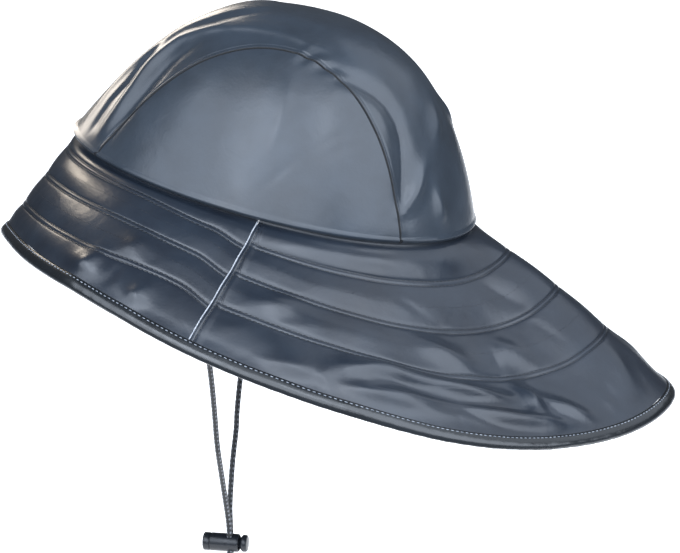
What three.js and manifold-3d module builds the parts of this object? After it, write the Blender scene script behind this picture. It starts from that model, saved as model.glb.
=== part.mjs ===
// Sou'wester rain hat of coated cloth, with a chin cord and its spring lock.
// Millimetres, +Z up. The front of the hat faces -Y and the wearer's left is +X.
// The origin is the middle of the crown's base, where the head holds the hat.
import * as THREE from 'three';
import { mergeVertices } from 'three/addons/utils/BufferGeometryUtils.js';
import Module from 'manifold-3d';

// How the hat sits: its front is raised, as it is worn.
const wearTiltDeg = 12.8;

// Crown: its base is an oval that is widest a little behind the middle.
const crownLength = 219;
const crownWidth = 184;
const crownHeight = 91;
const crownBackShift = 8;
const crownWall = 1.4;
const sideRoundness = 2.6;
const sideRoundnessChange = 0.1;
const topRoundness = 1.08;
const topRoundnessChange = 0.08;

// Lip: the crown's lower edge, rolled under.
const lipRadius = 2.2;
const lipBulge = 0.3;
const lipTuckDeg = 110;

// Centre strip of the crown, between its two side panels.
const stripHalfWidth = 46;
const stripFlare = 15;
const stripBackShift = 6;
const stripEdgeRise = 0.7;
const stripEdgeWidth = 3;
const seamGap = 0.5;

// Brim: from under the lip to its turned hem.
const brimLength = 142;
const brimWall = 1.8;
const brimDrop = 0.6;
const marginHeight = 2.6;
const marginLean = 0.45;
const brimSeamClearance = 0.35;
const ridgeHalfWidth = 2.4;
const ridgeHeight = 0.8;
const puffHeight = 0.8;
const frontPuffHeight = 0.9;
const foldHeight = 3;
const crownFoldHeight = 2;

// Hem, and the light piping in each side seam.
const hemWidth = 7;
const hemRise = 0.6;
const hemGap = 0.55;
const pipingWidth = 1.4;
const pipingRise = 0.6;
const pipingGap = 0.3;
const sideSeamTopDeg = 91.5;
const sideSeamRimDeg = 87;

// Chin cord, and the lock that slides on it.
const cordDiameter = 3;
const strandSpacing = 3.2;
const cordClearance = 0.3;
const cordSides = 8;
const cordSteps = 72;
const lockCentre = new THREE.Vector3(0, -25.8, -207.6);
const barrelDiameter = 10;
const barrelLength = 20;
const barrelFlangeLength = 3.9;
const barrelGrooveDepth = 0.5;
const barrelFloor = 3.6;
const holeFromMouth = 5.2;
const boreClearance = 0.3;
const plungerDiameter = 8;
const plungerBehindHole = 5;
const stemDiameter = 4.8;
const buttonDiameter = 9.4;
const buttonThickness = 4.4;
const buttonConeLength = 1.6;
const pressTravel = 1.2;
const lockChamfer = 0.7;
const lockSides = 20;

// The brim's sections, front to back. Angle is from the front, length is a share of
// brimLength, and the three droops are degrees below the crown's base plane at the
// lip, half way out and at the rim.
const brimSections = [
  { angle: 0, length: 0.48, droopLip: 66, droopMiddle: 69, droopRim: 57 },
  { angle: 30, length: 0.454, droopLip: 33, droopMiddle: 57, droopRim: 59 },
  { angle: 60, length: 0.535, droopLip: 20, droopMiddle: 38, droopRim: 53 },
  { angle: 90, length: 0.634, droopLip: 36, droopMiddle: 35, droopRim: 45 },
  { angle: 115, length: 0.74, droopLip: 57, droopMiddle: 29, droopRim: 47 },
  { angle: 135, length: 0.83, droopLip: 60, droopMiddle: 31, droopRim: 35 },
  { angle: 155, length: 0.912, droopLip: 50, droopMiddle: 31, droopRim: 26 },
  { angle: 180, length: 1, droopLip: 12, droopMiddle: 27, droopRim: 28 },
];

// Stitched rows, as shares of the section: on the front panel at the front, where the row
// bends short of the side seam and at the seam itself, and on the back panel.
const stitchRows = [
  { front: 0.13, bend: 0.156, seam: 0.205, back: 0.175 },
  { front: 0.39, bend: 0.38, seam: 0.438, back: 0.4 },
  { front: 0.685, bend: 0.62, seam: 0.685, back: 0.64 },
];

// Folds of the brim, the same on both sides. Place is the angle and the share of the
// section, long and wide are shares of brimLength, turn is from round the brim towards
// the rim, and height is a share of foldHeight.
const brimFolds = [
  { angle: 121, out: 0.72, long: 0.14, wide: 0.042, turn: -11, height: 1 },
  { angle: 139, out: 0.74, long: 0.21, wide: 0.042, turn: 9, height: 1.05 },
  { angle: 137, out: 0.79, long: 0.25, wide: 0.035, turn: 2, height: -0.85 },
  { angle: 124, out: 0.85, long: 0.18, wide: 0.042, turn: -8, height: 0.8 },
  { angle: 147, out: 0.87, long: 0.24, wide: 0.042, turn: 12, height: 0.9 },
  { angle: 152, out: 0.77, long: 0.085, wide: 0.042, turn: 92, height: 0.7 },
  { angle: 158, out: 0.84, long: 0.1, wide: 0.042, turn: 42, height: 0.65 },
  { angle: 173, out: 0.78, long: 0.1, wide: 0.056, turn: 120, height: 0.65 },
  { angle: 139, out: 0.54, long: 0.105, wide: 0.056, turn: 32, height: 0.8 },
  { angle: 156, out: 0.53, long: 0.085, wide: 0.063, turn: 50, height: 0.8 },
  { angle: 165, out: 0.29, long: 0.085, wide: 0.042, turn: 62, height: -0.45 },
  { angle: 100, out: 0.51, long: 0.11, wide: 0.05, turn: -32, height: 0.35 },
  { angle: 105, out: 0.86, long: 0.1, wide: 0.05, turn: -13, height: 0.45 },
  { angle: 62, out: 0.8, long: 0.07, wide: 0.05, turn: -65, height: 0.7 },
  { angle: 69, out: 0.53, long: 0.056, wide: 0.05, turn: -66, height: 0.6 },
  { angle: 75, out: 0.83, long: 0.056, wide: 0.042, turn: -60, height: 0.5 },
];

// Folds of the crown, the same on both sides. Over is degrees from the front over the
// top, aside is a share of half the crown's width, long and wide are shares of
// crownLength, turn is from over the top towards the side, and height is a share of
// crownFoldHeight.
const crownFolds = [
  { over: 120, aside: 0.49, long: 0.09, wide: 0.02, turn: -8, height: -0.8 },
  { over: 152, aside: 0.58, long: 0.155, wide: 0.022, turn: 18, height: -0.9 },
  { over: 163, aside: 0.56, long: 0.078, wide: 0.02, turn: 40, height: 0.7 },
  { over: 146, aside: 0.21, long: 0.055, wide: 0.027, turn: 46, height: 0.45 },
  { over: 170, aside: 0.43, long: 0.05, wide: 0.02, turn: 6, height: 0.55 },
  { over: 75, aside: 0.33, long: 0.13, wide: 0.02, turn: 10, height: 0.55 },
  { over: 38, aside: 0.33, long: 0.075, wide: 0.022, turn: -19, height: 0.55 },
  { over: 133, aside: 0.72, long: 0.055, wide: 0.027, turn: -47, height: -0.35 },
];

// The chin cord's route, left side from the crown's base seam to the bottom of the
// loop under the lock. The right side is its mirror image.
const cordHalf = [
  [81.0, -26.0, 6.0],
  [79.6, -26.0, -2.0],
  [71.0, -25.8, -32.0],
  [57.6, -25.5, -68.0],
  [42.9, -25.5, -100.0],
  [31.6, -26.4, -124.0],
  [25.5, -26.9, -140.0],
  [22.4, -26.8, -149.0],
  [14.1, -27.0, -164.0],
  [6.8, -26.8, -180.0],
  [3.3, -26.5, -189.0],
  [1.8, -26.0, -197.0],
  [1.6, -25.8, -203.6],
  [1.6, -25.8, -212.1],
  [3.0, -25.8, -216.6],
  [6.0, -25.8, -222.1],
  [5.9, -25.8, -228.1],
  [3.4, -25.8, -232.0],
];
const cordBottom = [0, -25.8, -233.2];

const rad = THREE.MathUtils.degToRad;
const deg = THREE.MathUtils.radToDeg;
const lerp = THREE.MathUtils.lerp;
const smooth = THREE.MathUtils.smoothstep;
const bisections = 34;

// Reads one column of a table of sections at an angle between its rows, with a smooth
// curve that is level at the front and at the back.
function readSection(column, angleDeg) {
  const rows = brimSections;
  const turned = Math.abs(angleDeg) % 360;
  const place = turned > 180 ? 360 - turned : turned;
  const last = rows.length - 1;
  const after = rows.findIndex((row, k) => k > 0 && place <= row.angle);
  const k = after < 0 ? last : after;
  const [from, to] = [rows[k - 1], rows[k]];
  const before = rows[k - 2] ?? { ...to, angle: 2 * from.angle - to.angle };
  const beyond = rows[k + 1] ?? { ...from, angle: 2 * to.angle - from.angle };
  const span = to.angle - from.angle;
  const share = (place - from.angle) / span;
  const slopeFrom = (to[column] - before[column]) / (to.angle - before.angle) * span;
  const slopeTo = (beyond[column] - from[column]) / (beyond.angle - from.angle) * span;
  const square = share * share;
  const cube = square * share;
  return (2 * cube - 3 * square + 1) * from[column] + (cube - 2 * square + share) * slopeFrom
    + (3 * square - 2 * cube) * to[column] + (cube - square) * slopeTo;
}

// A point of the crown's base oval, moved in by an inset, and its outward direction.
function ovalPoint(angle, inset = 0) {
  const x = (crownWidth / 2 - inset) * Math.sin(angle);
  const y = -(crownLength / 2 - inset) * Math.cos(angle) + crownBackShift * Math.sin(angle) ** 2;
  return new THREE.Vector3(x, y, 0);
}

function ovalOutward(angle) {
  const across = (crownLength / 2) * Math.sin(angle) + crownBackShift * Math.sin(2 * angle);
  const along = -(crownWidth / 2) * Math.cos(angle);
  return new THREE.Vector3(across, along, 0).normalize();
}

// The oval's radius in a direction, measured from the front.
function ovalRadius(direction) {
  const half = Math.abs(direction);
  let [low, high] = [0, Math.PI];
  for (let k = 0; k < bisections; k += 1) {
    const middle = (low + high) / 2;
    const p = ovalPoint(middle);
    if (Math.atan2(p.x, -p.y) < half) low = middle;
    else high = middle;
  }
  return ovalPoint((low + high) / 2).length();
}

// The dome is where this value is 1.
function domeValue(p) {
  const direction = Math.atan2(p.x, -p.y);
  const facing = Math.cos(direction);
  const reach = Math.hypot(p.x, p.y) / ovalRadius(direction);
  const height = Math.max(p.z, 0) / crownHeight;
  return reach ** (sideRoundness - sideRoundnessChange * facing)
    + height ** (topRoundness - topRoundnessChange * facing);
}

function domeNormal(p) {
  const step = 0.2;
  const slope = ['x', 'y', 'z'].map((axis) => {
    const ahead = p.clone();
    const behind = p.clone();
    ahead[axis] += step;
    behind[axis] = axis === 'z' ? Math.max(p.z - step, 0.01) : p[axis] - step;
    return (domeValue(ahead) - domeValue(behind)) / (ahead[axis] - behind[axis]);
  });
  return new THREE.Vector3(...slope).normalize();
}

// The dome's point on a ray.
function domeOnRay(origin, direction) {
  let [low, high] = [0, crownLength];
  for (let k = 0; k < bisections; k += 1) {
    const middle = (low + high) / 2;
    if (domeValue(origin.clone().addScaledVector(direction, middle)) < 1) low = middle;
    else high = middle;
  }
  return origin.clone().addScaledVector(direction, (low + high) / 2);
}

// The dome's point at a distance aside and an angle over the top from the front.
function domeOverTop(aside, over) {
  return domeOnRay(new THREE.Vector3(aside, 0, 0), new THREE.Vector3(0, -Math.cos(over), Math.sin(over)));
}

// Half the centre strip's width, at a place along the crown.
function stripEdge(y) {
  const share = y / (crownLength * 0.38);
  return stripHalfWidth + stripFlare * share * share + stripBackShift * share;
}

// The seam's point at an angle over the top, moved aside by a gap.
function seamPoint(over, gap) {
  let aside = stripHalfWidth + gap;
  for (let k = 0; k < 12; k += 1) aside = stripEdge(domeOverTop(aside, over).y) + gap;
  return domeOverTop(aside, over);
}

// One soft fold: a long mound or valley, turned in its own surface.
function foldShape(fold, along, outward, size) {
  const turn = rad(fold.turn);
  const long = (along * Math.cos(turn) + outward * Math.sin(turn)) / (fold.long * size);
  const wide = (outward * Math.cos(turn) - along * Math.sin(turn)) / (fold.wide * size);
  return fold.height * Math.exp(-long * long - wide * wide);
}

// How far the crown's cloth stands off the plain dome.
function crownRelief(p) {
  const over = Math.atan2(p.z, -p.y);
  const aside = Math.abs(p.x);
  const folds = crownFolds.reduce((sum, fold) => {
    const along = (over - rad(fold.over)) * crownHeight;
    return sum + foldShape(fold, along, aside - fold.aside * crownWidth / 2, crownLength);
  }, 0);
  const fromEdge = (stripEdge(p.y) - aside) / stripEdgeWidth;
  const edge = fromEdge > 0 ? stripEdgeRise * Math.exp(-fromEdge * fromEdge) : 0;
  return crownFoldHeight * folds * smooth(p.z, 4, 14) + edge * smooth(p.z, 3, 6);
}

// Outer and inner points of the crown's wall.
function crownWallPoints(p) {
  const normal = domeNormal(p);
  const outer = p.clone().addScaledVector(normal, crownRelief(p));
  return [outer, outer.clone().addScaledVector(normal, -crownWall)];
}

// Outer and inner points round the rolled lip, from 0 at its outermost to lipTuckDeg.
function lipWallPoints(angle, tuck) {
  const centre = ovalPoint(angle).addScaledVector(ovalOutward(angle), lipBulge - lipRadius);
  centre.z = lipRadius;
  const ray = ovalOutward(angle).multiplyScalar(Math.cos(tuck));
  ray.z = -Math.sin(tuck);
  return [lipRadius, lipRadius - crownWall].map((r) => centre.clone().addScaledVector(ray, r));
}

const lipTucks = [lipTuckDeg, lipTuckDeg * 0.65, lipTuckDeg * 0.3, 0].map(rad);
const lipTop = lipRadius + 1.2;

// Joins a grid of outer and inner points into one closed wall.
function wallGeometry(columns) {
  const count = columns[0].length;
  const points = columns.flatMap((column) => column.flatMap((pair) => pair));
  const at = (i, j, side) => (i * count + j) * 2 + side;
  const quads = [];
  const lastColumn = columns.length - 1;
  for (let i = 0; i < lastColumn; i += 1) {
    for (let j = 0; j < count - 1; j += 1) {
      quads.push([at(i, j, 0), at(i + 1, j, 0), at(i + 1, j + 1, 0), at(i, j + 1, 0)]);
      quads.push([at(i, j, 1), at(i, j + 1, 1), at(i + 1, j + 1, 1), at(i + 1, j, 1)]);
    }
    quads.push([at(i + 1, 0, 0), at(i, 0, 0), at(i, 0, 1), at(i + 1, 0, 1)]);
    quads.push([at(i, count - 1, 0), at(i + 1, count - 1, 0), at(i + 1, count - 1, 1), at(i, count - 1, 1)]);
  }
  for (let j = 0; j < count - 1; j += 1) {
    quads.push([at(0, j, 0), at(0, j + 1, 0), at(0, j + 1, 1), at(0, j, 1)]);
    quads.push([at(lastColumn, j + 1, 0), at(lastColumn, j, 0), at(lastColumn, j, 1), at(lastColumn, j + 1, 1)]);
  }
  return quadGeometry(points, quads);
}

// Joins rings of points into one closed solid: round on itself, or with flat ends.
function ringGeometry(rings, round) {
  const count = rings[0].length;
  const points = rings.flat();
  const quads = [];
  const steps = round ? rings.length : rings.length - 1;
  for (let i = 0; i < steps; i += 1) {
    const next = (i + 1) % rings.length;
    for (let j = 0; j < count; j += 1) {
      const k = (j + 1) % count;
      quads.push([i * count + j, next * count + j, next * count + k, i * count + k]);
    }
  }
  const ends = [];
  const lastRing = (rings.length - 1) * count;
  for (let j = 1; j < count - 1 && !round; j += 1) {
    ends.push([0, j, j + 1], [lastRing, lastRing + j + 1, lastRing + j]);
  }
  return quadGeometry(points, quads, ends);
}

// A closed geometry from four-sided and three-sided faces, with its faces pointing out.
function quadGeometry(points, quads, triangles = []) {
  const faces = [...quads.flatMap(([a, b, c, d]) => [[a, b, c], [a, c, d]]), ...triangles];
  const volume = faces.reduce((sum, [a, b, c]) => {
    const turned = new THREE.Vector3().crossVectors(points[b], points[c]);
    return sum + points[a].dot(turned);
  }, 0);
  const facing = volume > 0 ? faces : faces.map(([a, b, c]) => [a, c, b]);
  const geometry = new THREE.BufferGeometry();
  geometry.setAttribute('position', new THREE.Float32BufferAttribute(points.flatMap((p) => p.toArray()), 3));
  geometry.setIndex(facing.flat());
  geometry.computeVertexNormals();
  return geometry;
}

// The crown's centre strip, from the front lip over the top to the back lip.
function centreStrip() {
  const across = [-1, -0.94, -0.84, -0.62, -0.32, 0, 0.32, 0.62, 0.84, 0.94, 1];
  const rowCount = 27;
  const startOver = Math.atan2(lipTop, crownLength / 2);
  const overs = Array.from({ length: rowCount }, (_, j) => lerp(startOver, Math.PI - startOver, j / (rowCount - 1)));
  const columns = across.map((share) => {
    const frontAside = share * stripEdge(seamPoint(startOver, 0).y);
    const backAside = share * stripEdge(seamPoint(Math.PI - startOver, 0).y);
    const frontAngle = Math.asin(frontAside / (crownWidth / 2));
    const backAngle = Math.PI - Math.asin(backAside / (crownWidth / 2));
    const dome = overs.map((over) => crownWallPoints(domeOverTop(share * seamPoint(over, 0).x, over)));
    const front = lipTucks.map((tuck) => lipWallPoints(frontAngle, tuck));
    const back = lipTucks.map((tuck) => lipWallPoints(backAngle, tuck)).reverse();
    return [...front, ...dome, ...back];
  });
  return wallGeometry(columns);
}

// The angle round the base where the seam reaches the lip.
function seamFoot(nearBack) {
  let [low, high] = nearBack ? [Math.PI / 2, Math.PI] : [0, Math.PI / 2];
  for (let k = 0; k < bisections; k += 1) {
    const middle = (low + high) / 2;
    const p = ovalPoint(middle);
    const outside = p.x > stripEdge(p.y) + seamGap + 0.2;
    if (outside === nearBack) low = middle;
    else high = middle;
  }
  return (low + high) / 2;
}

// A side panel of the crown, between the lip and the seam. Side is 1 or -1.
function sidePanel(side) {
  const columnCount = 17;
  const shares = [0, 0.12, 0.3, 0.5, 0.7, 0.86, 0.95, 1];
  const [frontFoot, backFoot] = [seamFoot(false), seamFoot(true)];
  const startOver = Math.atan2(lipTop + 1.6, crownLength / 2);
  const origin = new THREE.Vector3();
  const columns = Array.from({ length: columnCount }, (_, i) => {
    const share = i / (columnCount - 1);
    const eased = share - 0.06 * Math.sin(2 * Math.PI * share);
    const angle = lerp(frontFoot, backFoot, eased);
    const foot = ovalPoint(angle);
    foot.z = lipTop;
    const top = seamPoint(lerp(startOver, Math.PI - startOver, eased), seamGap);
    const dome = shares.map((k) => domeOnRay(origin, foot.clone().lerp(top, k).normalize()));
    return [...lipTucks.map((tuck) => lipWallPoints(angle, tuck)), ...dome.map(crownWallPoints)];
  });
  const mirrored = columns.map((column) => column.map((pair) => pair.map((p) => p.setX(p.x * side))));
  return wallGeometry(mirrored);
}

// The inset of the brim's edge, which passes inside the tucked lip with a clearance.
const lipInner = lipRadius - lipBulge - lipRadius * Math.cos(rad(lipTuckDeg));
const brimInset = lipInner + brimSeamClearance;

// A point of the plain brim, at an angle from the front and a share of its section.
function brimPoint(angle, share) {
  const angleDeg = deg(angle);
  const length = brimLength * readSection('length', angleDeg);
  const lip = readSection('droopLip', angleDeg);
  const middle = readSection('droopMiddle', angleDeg);
  const rim = readSection('droopRim', angleDeg);
  const steps = 12;
  let [out, down] = [0, brimDrop];
  for (let k = 0; k < steps; k += 1) {
    const s = (k + 0.5) / steps * share;
    const droop = rad(lip * (1 - s) * (1 - 2 * s) + middle * 4 * s * (1 - s) + rim * s * (2 * s - 1));
    out += Math.cos(droop) * length * share / steps;
    down += Math.sin(droop) * length * share / steps;
  }
  const p = ovalPoint(angle, brimInset).addScaledVector(ovalOutward(angle), out);
  p.z = -down;
  return p;
}

function brimSectionLength(angle) {
  return brimLength * readSection('length', deg(angle));
}

// Directions round the brim and out along it, the upward normal, and the length
// round it for each radian.
function brimFrame(angle, share) {
  const step = 0.01;
  const round = brimPoint(angle + step, share).sub(brimPoint(angle - step, share));
  const perRadian = round.length() / (2 * step);
  const start = Math.max(share - step, 0);
  const out = brimPoint(angle, start + 2 * step).sub(brimPoint(angle, start));
  round.normalize();
  out.normalize();
  const normal = new THREE.Vector3().crossVectors(out, round).normalize();
  if (normal.z < 0) normal.negate();
  return { round, out, normal, perRadian };
}

// The side seam's angle at a share of the section.
function sideSeamAngle(share) {
  return rad(lerp(sideSeamTopDeg, sideSeamRimDeg, share));
}

// Shares of the section where the three stitched rows run.
function rowShares(angle, onFront) {
  const place = Math.abs(deg(angle));
  const toBend = smooth(place, 58, 80);
  const toSeam = smooth(place, 81, 91);
  const frontShare = (row) => lerp(lerp(row.front, row.bend, toBend), row.seam, toSeam);
  return stitchRows.map((row) => (onFront ? frontShare(row) : row.back));
}

// How far the brim's folds and its puffed bands stand off the plain surface.
function brimRelief(angle, share, onFront) {
  const turned = Math.abs(deg(angle)) % 360;
  const place = turned > 180 ? 360 - turned : turned;
  const length = brimSectionLength(angle);
  const folds = brimFolds.reduce((sum, fold) => {
    const near = Math.abs(place - fold.angle) < 45 ? brimPlanRadius(fold) : 0;
    const along = rad(place - fold.angle) * near;
    return near ? sum + foldShape(fold, along, (share - fold.out) * length, brimLength) : sum;
  }, 0);
  const hemShare = 1 - hemWidth / length;
  const bounds = [0, ...rowShares(angle, onFront), hemShare];
  const band = bounds.findIndex((bound, k) => k > 0 && share <= bound);
  const inBand = band < 0 ? 0 : (share - bounds[band - 1]) / (bounds[band] - bounds[band - 1]);
  const puff = lerp(frontPuffHeight, puffHeight, smooth(place, 30, 60)) * Math.sin(Math.PI * inBand) ** 2;
  const hold = smooth(share * length, 0, 10) * lerp(1, 0.35, smooth(share, hemShare - 0.08, hemShare));
  return (foldHeight * folds + puff) * hold;
}

const planRadii = new Map();

// The brim's radius where a fold lies.
function brimPlanRadius(fold) {
  if (!planRadii.has(fold)) planRadii.set(fold, brimFrame(rad(fold.angle), fold.out).perRadian);
  return planRadii.get(fold);
}

// Outer and inner points of the brim's wall. Ridge is 1 on a stitched row.
function brimWallPoints(angle, share, onFront, ridge) {
  const { normal } = brimFrame(angle, share);
  const soft = brimPoint(angle, share).addScaledVector(normal, brimRelief(angle, share, onFront));
  const outer = soft.clone().addScaledVector(normal, ridge * ridgeHeight);
  return [outer, soft.addScaledVector(normal, -brimWall)];
}

// The seam margin that turns up inside the crown.
function marginWallPoints(angle, height) {
  return [0, brimWall].map((depth) => {
    const p = ovalPoint(angle, brimInset + depth + marginLean * height);
    p.z = height;
    return p;
  });
}

// The share of the section where the brim's cloth meets the hem.
function brimEndShare(angle) {
  return 1 - (hemWidth + hemGap) / brimSectionLength(angle);
}

// Shares down one section of the brim, each with its ridge: three at each stitched
// row and a few between.
function sectionStops(angle, onFront) {
  const half = ridgeHalfWidth / brimSectionLength(angle);
  const between = [1, 1, 1, 3];
  const stops = [{ share: 0, ridge: 0 }];
  const rows = [...rowShares(angle, onFront), brimEndShare(angle)];
  let start = 0;
  rows.forEach((row, k) => {
    const isEnd = k === rows.length - 1;
    const end = isEnd ? row : row - half;
    for (let j = 1; j <= between[k]; j += 1) {
      stops.push({ share: lerp(start, end, j / (between[k] + 1)), ridge: 0 });
    }
    stops.push({ share: end, ridge: 0 });
    if (!isEnd) stops.push({ share: row, ridge: 1 }, { share: row + half, ridge: 0 });
    start = row + half;
  });
  return stops;
}

// One brim panel, between its two side seams.
function brimPanel(onFront, columnCount) {
  const middle = onFront ? 0 : Math.PI;
  const columns = Array.from({ length: columnCount }, (_, i) => {
    const share = lerp(-1, 1, i / (columnCount - 1));
    const angleAt = (s) => {
      const seam = sideSeamAngle(s);
      const clear = (pipingWidth / 2 + pipingGap) / brimFrame(seam, s).perRadian;
      const reach = onFront ? seam : Math.PI - seam;
      return middle + share * (reach - clear);
    };
    const stops = sectionStops(angleAt(0.5), onFront);
    const margin = [marginHeight, marginHeight / 3].map((z) => marginWallPoints(angleAt(0), z));
    return [...margin, ...stops.map((stop) => brimWallPoints(angleAt(stop.share), stop.share, onFront, stop.ridge))];
  });
  return wallGeometry(columns);
}

// The turned hem, one closed band round the rim.
function hemBand() {
  const count = 72;
  const rings = Array.from({ length: count }, (_, i) => {
    const angle = 2 * Math.PI * i / count;
    const share = 1 - hemWidth / brimSectionLength(angle);
    const isFront = Math.cos(angle) > Math.cos(sideSeamAngle(1));
    const { normal } = brimFrame(angle, (share + 1) / 2);
    const start = brimPoint(angle, share).addScaledVector(normal, brimRelief(angle, share, isFront));
    const out = brimPoint(angle, 1).sub(brimPoint(angle, share)).normalize();
    const under = -brimWall - hemRise;
    const edge = (under + hemRise) / 2;
    const section = [
      [0, hemRise / 3],
      [hemWidth * 0.45, hemRise],
      [hemWidth * 0.85, hemRise],
      [hemWidth, edge],
      [hemWidth * 0.85, under],
      [0, under + hemRise / 3],
    ];
    return section.map(([across, up]) => start.clone().addScaledVector(out, across).addScaledVector(normal, up));
  });
  return ringGeometry(rings, true);
}

// The light piping in one side seam. Side is 1 or -1.
function sideSeamPiping(side) {
  const stops = [...sectionStops(sideSeamAngle(0.5), false)];
  const half = pipingWidth / 2;
  const rings = stops.map(({ share }) => {
    const angle = sideSeamAngle(share);
    const { round, normal } = brimFrame(angle, share);
    const centre = brimPoint(angle, share).addScaledVector(normal, brimRelief(angle, share, false));
    const section = [
      [-half, -brimWall],
      [half, -brimWall],
      [half, pipingRise / 3],
      [0, pipingRise],
      [-half, pipingRise / 3],
    ];
    return section.map(([across, up]) => {
      const p = centre.clone().addScaledVector(round, across).addScaledVector(normal, up);
      return p.setX(p.x * side);
    });
  });
  return ringGeometry(rings, false);
}

// The chin cord: one tube along its whole route.
function chinCord() {
  const left = cordHalf.map((p) => new THREE.Vector3(...p));
  const right = cordHalf.map(([x, y, z]) => new THREE.Vector3(-x, y, z)).reverse();
  const route = new THREE.CatmullRomCurve3([...left, new THREE.Vector3(...cordBottom), ...right], false, 'centripetal');
  const corners = Array.from({ length: cordSides }, (_, k) => {
    const turn = 2 * Math.PI * (k + 0.5) / cordSides;
    return new THREE.Vector2(Math.cos(turn), Math.sin(turn)).multiplyScalar(cordDiameter / 2);
  });
  return new THREE.ExtrudeGeometry(new THREE.Shape(corners), { steps: cordSteps, extrudePath: route });
}

// A slot with round corners, standing upright through the lock.
function uprightSlot(width, start, end) {
  const radius = cordDiameter / 2 + cordClearance;
  const half = width / 2;
  const shape = new THREE.Shape();
  shape.absarc(half - radius, start + radius, radius, -Math.PI / 2, 0);
  shape.absarc(half - radius, end - radius, radius, 0, Math.PI / 2);
  shape.absarc(radius - half, end - radius, radius, Math.PI / 2, Math.PI);
  shape.absarc(radius - half, start + radius, radius, Math.PI, Math.PI * 1.5);
  const depth = barrelDiameter * 2;
  const geometry = new THREE.ExtrudeGeometry(shape, { depth, bevelEnabled: false, curveSegments: 3 });
  return geometry.translate(0, 0, -depth / 2);
}

const wasm = await Module();
wasm.setup();

function asSolid(geometry) {
  const bare = geometry.clone();
  bare.deleteAttribute('normal');
  bare.deleteAttribute('uv');
  const merged = mergeVertices(bare, 1e-4);
  const vertProperties = new Float32Array(merged.attributes.position.array);
  const triVerts = new Uint32Array(merged.index.array);
  return new wasm.Manifold(new wasm.Mesh({ numProp: 3, vertProperties, triVerts }));
}

function asGeometry(solid) {
  const mesh = solid.getMesh();
  const geometry = new THREE.BufferGeometry();
  geometry.setAttribute('position', new THREE.Float32BufferAttribute(mesh.vertProperties, 3));
  geometry.setIndex([...mesh.triVerts]);
  geometry.computeVertexNormals();
  return geometry;
}

// Turns a profile of [radius, along] pairs round the lock's axis, which is Y.
function turnedGeometry(profile) {
  return new THREE.LatheGeometry(profile.map(([radius, along]) => new THREE.Vector2(radius, along)), lockSides);
}

// The lock's slot takes both strands side by side.
const slotWidth = strandSpacing + cordDiameter + 2 * cordClearance;
const slotHalf = cordDiameter / 2 + cordClearance;
const barrelMouth = holeFromMouth;
const barrelEnd = holeFromMouth - barrelLength;
const boreRadius = plungerDiameter / 2 + boreClearance;

// The barrel, along Y round the middle of its cord hole, open at its mouth.
function lockBarrel() {
  const radius = barrelDiameter / 2;
  const flangeEnd = barrelEnd + barrelFlangeLength;
  const profile = [
    [0, barrelEnd],
    [radius - lockChamfer, barrelEnd],
    [radius, barrelEnd + lockChamfer],
    [radius, flangeEnd - barrelGrooveDepth],
    [radius - barrelGrooveDepth, flangeEnd],
    [radius, flangeEnd + barrelGrooveDepth],
    [radius, barrelMouth - lockChamfer],
    [radius - lockChamfer / 2, barrelMouth],
    [boreRadius, barrelMouth],
    [boreRadius, barrelEnd + barrelFloor],
    [0, barrelEnd + barrelFloor],
  ];
  const slot = uprightSlot(slotWidth, -slotHalf, slotHalf);
  return asGeometry(asSolid(turnedGeometry(profile)).subtract(asSolid(slot)));
}

// The plunger at rest, with its longer slot, its stem and its round button.
function lockPlunger() {
  const radius = plungerDiameter / 2;
  const button = buttonDiameter / 2;
  const stemStart = slotHalf + pressTravel + lockChamfer;
  const coneStart = barrelMouth + boreClearance;
  const coneEnd = coneStart + buttonConeLength;
  const buttonEnd = coneStart + buttonThickness;
  const profile = [
    [0, -plungerBehindHole],
    [radius, -plungerBehindHole],
    [radius, stemStart],
    [stemDiameter / 2, stemStart + lockChamfer],
    [stemDiameter / 2, coneStart],
    [button - lockChamfer / 2, coneEnd],
    [button, coneEnd + lockChamfer],
    [button, buttonEnd - lockChamfer],
    [button - lockChamfer, buttonEnd],
    [0, buttonEnd],
  ];
  const slot = uprightSlot(slotWidth, -slotHalf, slotHalf + pressTravel);
  return asGeometry(asSolid(turnedGeometry(profile)).subtract(asSolid(slot)));
}

function named(name, geometry, color, roughness, metalness = 0) {
  const mesh = new THREE.Mesh(geometry, new THREE.MeshStandardMaterial({ color, roughness, metalness }));
  mesh.name = name;
  return mesh;
}

// Colours of the coated cloth and the trim.
const cloth = { crown: 0x6f7c8b, brim: 0x4a525e, hem: 0x424a56 };
const trim = { piping: 0xe6e8ea, cord: 0x45464b, lock: 0x15171b };

const worn = new THREE.Group();
worn.rotation.x = -rad(wearTiltDeg);
worn.add(named('crown_centre_strip', centreStrip(), cloth.crown, 0.42));
worn.add(named('crown_side_panel_left', sidePanel(1), cloth.crown, 0.42));
worn.add(named('crown_side_panel_right', sidePanel(-1), cloth.crown, 0.42));
worn.add(named('brim_front_panel', brimPanel(true, 25), cloth.brim, 0.42));
worn.add(named('brim_back_panel', brimPanel(false, 41), cloth.brim, 0.42));
worn.add(named('hem_band', hemBand(), cloth.hem, 0.42));
worn.add(named('side_seam_piping_left', sideSeamPiping(1), trim.piping, 0.5));
worn.add(named('side_seam_piping_right', sideSeamPiping(-1), trim.piping, 0.5));

const barrel = named('cord_lock_barrel', lockBarrel(), trim.lock, 0.25);
const plunger = named('cord_lock_plunger', lockPlunger(), trim.lock, 0.25);
barrel.position.copy(lockCentre);
plunger.position.copy(lockCentre);

const hat = new THREE.Group();
hat.add(worn, named('chin_cord', chinCord(), trim.cord, 0.8), barrel, plunger);

export default hat;
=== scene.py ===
import bpy
import math
import numpy as np
from mathutils import Matrix, Vector


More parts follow.
